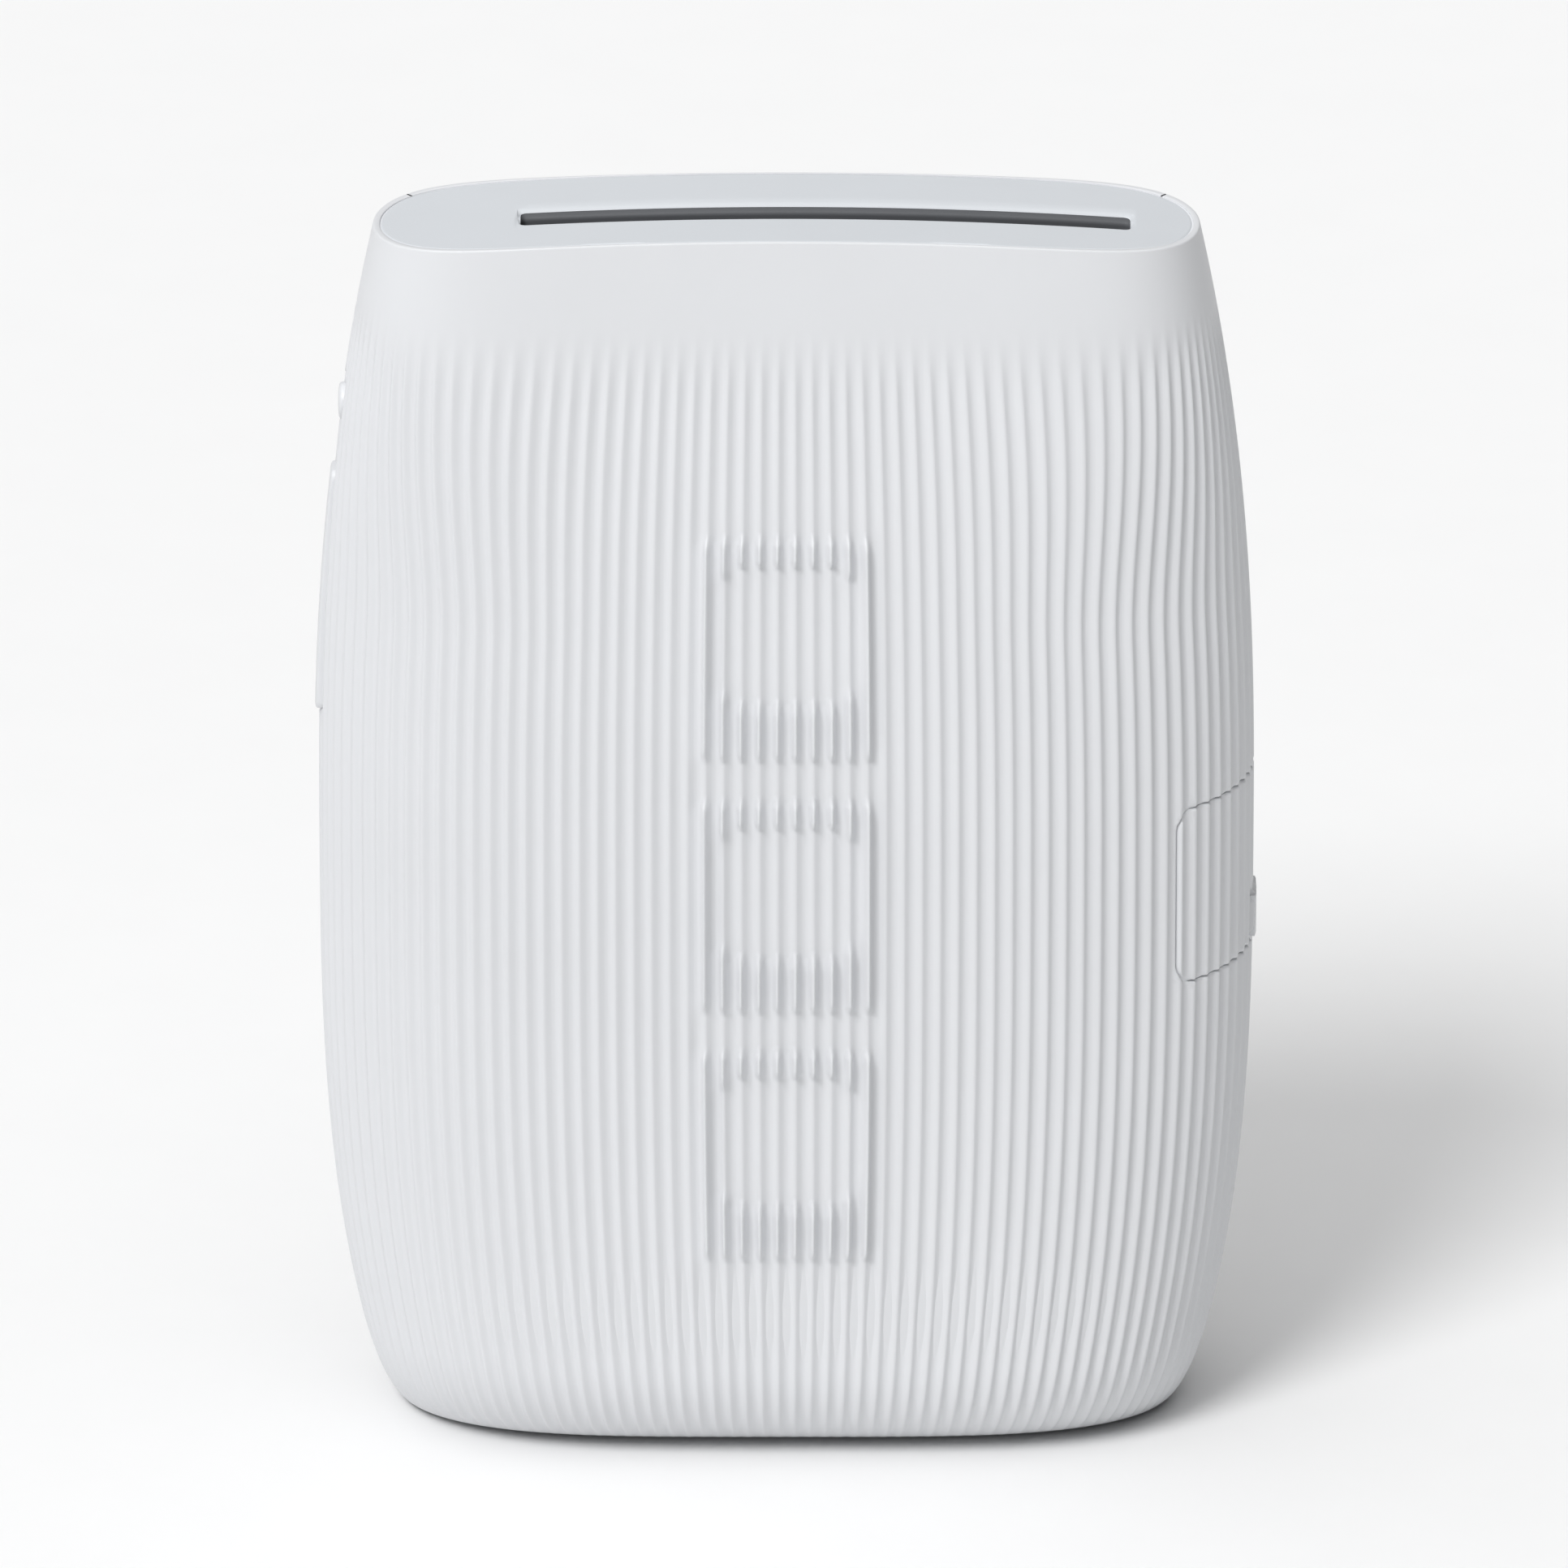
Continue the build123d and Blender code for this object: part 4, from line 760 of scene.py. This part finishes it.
# ---- Materials -----------------------------------------------------------------------------------
def plastic(name, colour, roughness, grain=0.0, grain_size=0.0004, mottle=0.02, metallic=0.0,
            coat=0.0, transmission=0.0, stretch=(1, 1, 1)):
    """Principled surface with a faint mottle and a fine moulded or brushed grain, both procedural."""
    material = bpy.data.materials.new(name)
    material.use_nodes = True
    tree = material.node_tree
    shader = tree.nodes["Principled BSDF"]
    shader.inputs["Roughness"].default_value = roughness
    shader.inputs["Metallic"].default_value = metallic
    shader.inputs["Coat Weight"].default_value = coat
    shader.inputs["Transmission Weight"].default_value = transmission
    coordinates = tree.nodes.new("ShaderNodeTexCoord")
    mapping = tree.nodes.new("ShaderNodeMapping")
    mapping.inputs["Scale"].default_value = stretch
    tree.links.new(coordinates.outputs["Object"], mapping.inputs["Vector"])
    cloud = tree.nodes.new("ShaderNodeTexNoise")
    cloud.inputs["Scale"].default_value = 90.0
    cloud.inputs["Detail"].default_value = 3.0
    tree.links.new(mapping.outputs["Vector"], cloud.inputs["Vector"])
    ramp = tree.nodes.new("ShaderNodeValToRGB")
    ramp.color_ramp.elements[0].position = 0.3
    ramp.color_ramp.elements[1].position = 0.7
    ramp.color_ramp.elements[0].color = (*[c * (1 - mottle) for c in colour], 1)
    ramp.color_ramp.elements[1].color = (*[min(c * (1 + mottle), 1) for c in colour], 1)
    tree.links.new(cloud.outputs["Fac"], ramp.inputs["Fac"])
    tree.links.new(ramp.outputs["Color"], shader.inputs["Base Color"])
    if grain:
        fine = tree.nodes.new("ShaderNodeTexNoise")
        fine.inputs["Scale"].default_value = 1 / grain_size
        fine.inputs["Detail"].default_value = 2.0
        tree.links.new(mapping.outputs["Vector"], fine.inputs["Vector"])
        bump = tree.nodes.new("ShaderNodeBump")
        bump.inputs["Strength"].default_value = grain
        bump.inputs["Distance"].default_value = 0.00003
        tree.links.new(fine.outputs["Fac"], bump.inputs["Height"])
        tree.links.new(bump.outputs["Normal"], shader.inputs["Normal"])
    return material


BRUSHED, BRUSHED_UP = (1, 8, 8), (8, 1, 8)
SURFACES = {
    "white_shell": dict(colour=(0.74, 0.75, 0.77), roughness=0.42, grain=0.15, mottle=0.006),
    "white_trim": dict(colour=(0.74, 0.75, 0.77), roughness=0.38, grain=0.1, mottle=0.006),
    "grey_cap": dict(colour=(0.665, 0.69, 0.72), roughness=0.5, grain=0.35, grain_size=0.0003, mottle=0.01),
    "black_plastic": dict(colour=(0.018, 0.018, 0.02), roughness=0.5, grain=0.4),
    "felt": dict(colour=(0.012, 0.012, 0.013), roughness=0.95, grain=1.0, grain_size=0.00012, mottle=0.3),
    "foam": dict(colour=(0.02, 0.02, 0.021), roughness=0.9, grain=1.0, grain_size=0.0002, mottle=0.25),
    "steel": dict(colour=(0.6, 0.61, 0.62), roughness=0.25, grain=0.2, metallic=1.0, stretch=BRUSHED),
    "spring_steel": dict(colour=(0.5, 0.51, 0.52), roughness=0.3, grain=0.1, metallic=1.0),
    "plate_steel": dict(colour=(0.62, 0.63, 0.64), roughness=0.35, grain=0.3, metallic=1.0,
                        stretch=BRUSHED_UP),
    "bronze": dict(colour=(0.6, 0.38, 0.17), roughness=0.42, grain=0.4, metallic=1.0, mottle=0.08),
    "gear_white": dict(colour=(0.8, 0.78, 0.72), roughness=0.38, grain=0.1),
    "roller_rubber": dict(colour=(0.04, 0.04, 0.042), roughness=0.7, grain=0.6, stretch=BRUSHED),
    "motor_can": dict(colour=(0.55, 0.56, 0.57), roughness=0.28, grain=0.2, metallic=1.0, stretch=BRUSHED),
    "board_green": dict(colour=(0.012, 0.11, 0.045), roughness=0.35, mottle=0.12, coat=0.4),
    "chip_black": dict(colour=(0.02, 0.02, 0.022), roughness=0.55, grain=0.5),
    "can_metal": dict(colour=(0.7, 0.7, 0.69), roughness=0.3, grain=0.15, metallic=1.0, mottle=0.05),
    "battery_foil": dict(colour=(0.6, 0.62, 0.64), roughness=0.32, grain=0.8, grain_size=0.002, metallic=0.9),
    "connector_white": dict(colour=(0.78, 0.78, 0.74), roughness=0.45),
    "lead_red": dict(colour=(0.45, 0.02, 0.015), roughness=0.45, mottle=0.05),
    "lens_glass": dict(colour=(0.85, 0.9, 0.93), roughness=0.1, transmission=0.85),
    "screw_steel": dict(colour=(0.1, 0.1, 0.105), roughness=0.35, grain=0.3, metallic=0.9),
    "socket_steel": dict(colour=(0.62, 0.62, 0.63), roughness=0.25, grain=0.15, metallic=1.0),
}
FINISHES = {name: plastic(name, **values) for name, values in SURFACES.items()}
# Dark grey painted shade for the recess of the film slot and the chute below it
slot_painted_shade = plastic("slot_painted_shade", (0.115, 0.12, 0.13), 0.6, grain=0.3)
slot_of = {part["node"]: part["material_slot"] for part in frame["record"]["subparts"]}
for node_name, node in frame["nodes"].items():
    node.data.materials.clear()
    node.data.materials.append(FINISHES[slot_of[node_name]])
for piece, _, slot_name in PIECES:
    # The chute takes the slot's dark painted shade instead of its listed finish
    piece.data.materials.append(slot_painted_shade if piece is chute else FINISHES[slot_name])
# Painted shade: the cap's own walls are coloured dark grey deeper than half a millimetre inside the slot
cap_face.data.materials.append(slot_painted_shade)
for polygon in cap_face.data.polygons:
    middle = polygon.center / MM
    deep = middle.z < cap_point(middle.x, middle.y, -0.5)[2]
    if deep and abs(middle.x - SLOT_X) < SLOT_HALF_X + 0.5 and abs(middle.y - SLOT_Y) < SLOT_HALF_Y + 0.5:
        polygon.material_index = 1

# ---- Floor, light and camera ------------------------------------------------------------------------
scene = bpy.context.scene
scene.view_settings.view_transform = "Standard"
FLOOR = 9000
floor = new_object("floor", [(-FLOOR, -FLOOR, 0), (FLOOR, -FLOOR, 0), (FLOOR, FLOOR, 0), (-FLOOR, FLOOR, 0)],
                   [(0, 1, 2, 3)], smooth_faces=False)
floor.data.materials.append(plastic("floor", (0.9, 0.9, 0.9), 0.8, mottle=0.004))

# The surroundings are brighter on the left than on the right
world = bpy.data.worlds.new("studio")
scene.world = world
world.use_nodes = True
background = world.node_tree.nodes["Background"]
background.inputs["Strength"].default_value = 0.22
sky = world.node_tree.nodes.new("ShaderNodeTexCoord")
sky_split = world.node_tree.nodes.new("ShaderNodeSeparateXYZ")
sky_range = world.node_tree.nodes.new("ShaderNodeMapRange")
sky_ramp = world.node_tree.nodes.new("ShaderNodeValToRGB")
sky_range.inputs["From Min"].default_value = -1.0
sky_ramp.color_ramp.elements[0].position = 0.25
sky_ramp.color_ramp.elements[0].color = (0.98, 0.99, 1.0, 1)
sky_ramp.color_ramp.elements[1].position = 0.85
sky_ramp.color_ramp.elements[1].color = (0.05, 0.052, 0.055, 1)
world.node_tree.links.new(sky.outputs["Generated"], sky_split.inputs["Vector"])
world.node_tree.links.new(sky_split.outputs["X"], sky_range.inputs["Value"])
world.node_tree.links.new(sky_range.outputs["Result"], sky_ramp.inputs["Fac"])
world.node_tree.links.new(sky_ramp.outputs["Color"], background.inputs["Color"])


def sun(name, toward, strength, spread):
    """Distant light from one direction, soft over a spread in degrees."""
    data = bpy.data.lights.new(name, "SUN")
    data.energy = strength
    data.angle = math.radians(spread)
    lamp = bpy.data.objects.new(name, data)
    lamp.rotation_euler = Vector(toward).to_track_quat("Z", "Y").to_euler()
    scene.collection.objects.link(lamp)


sun("key", (-0.36, -0.56, 0.75), 1.8, 22)
sun("overhead", (-0.05, -0.08, 1.0), 1.6, 75)

camera_data = bpy.data.cameras.new("camera")
camera = bpy.data.objects.new("camera", camera_data)
scene.collection.objects.link(camera)
scene.camera = camera
ELEVATION, CAMERA_DISTANCE = math.radians(23.25), 2.5
target = Vector((0, 0, HEIGHT / 2 * MM))
toward = Vector((0, -math.cos(ELEVATION), math.sin(ELEVATION)))
camera.location = target + toward * CAMERA_DISTANCE
camera.rotation_euler = toward.to_track_quat("Z", "Y").to_euler()
camera_data.lens = 595.8
camera_data.sensor_width = 36.0
camera_data.shift_x = -0.0016
camera_data.shift_y = 0.0139
camera_data.clip_end = 100.0
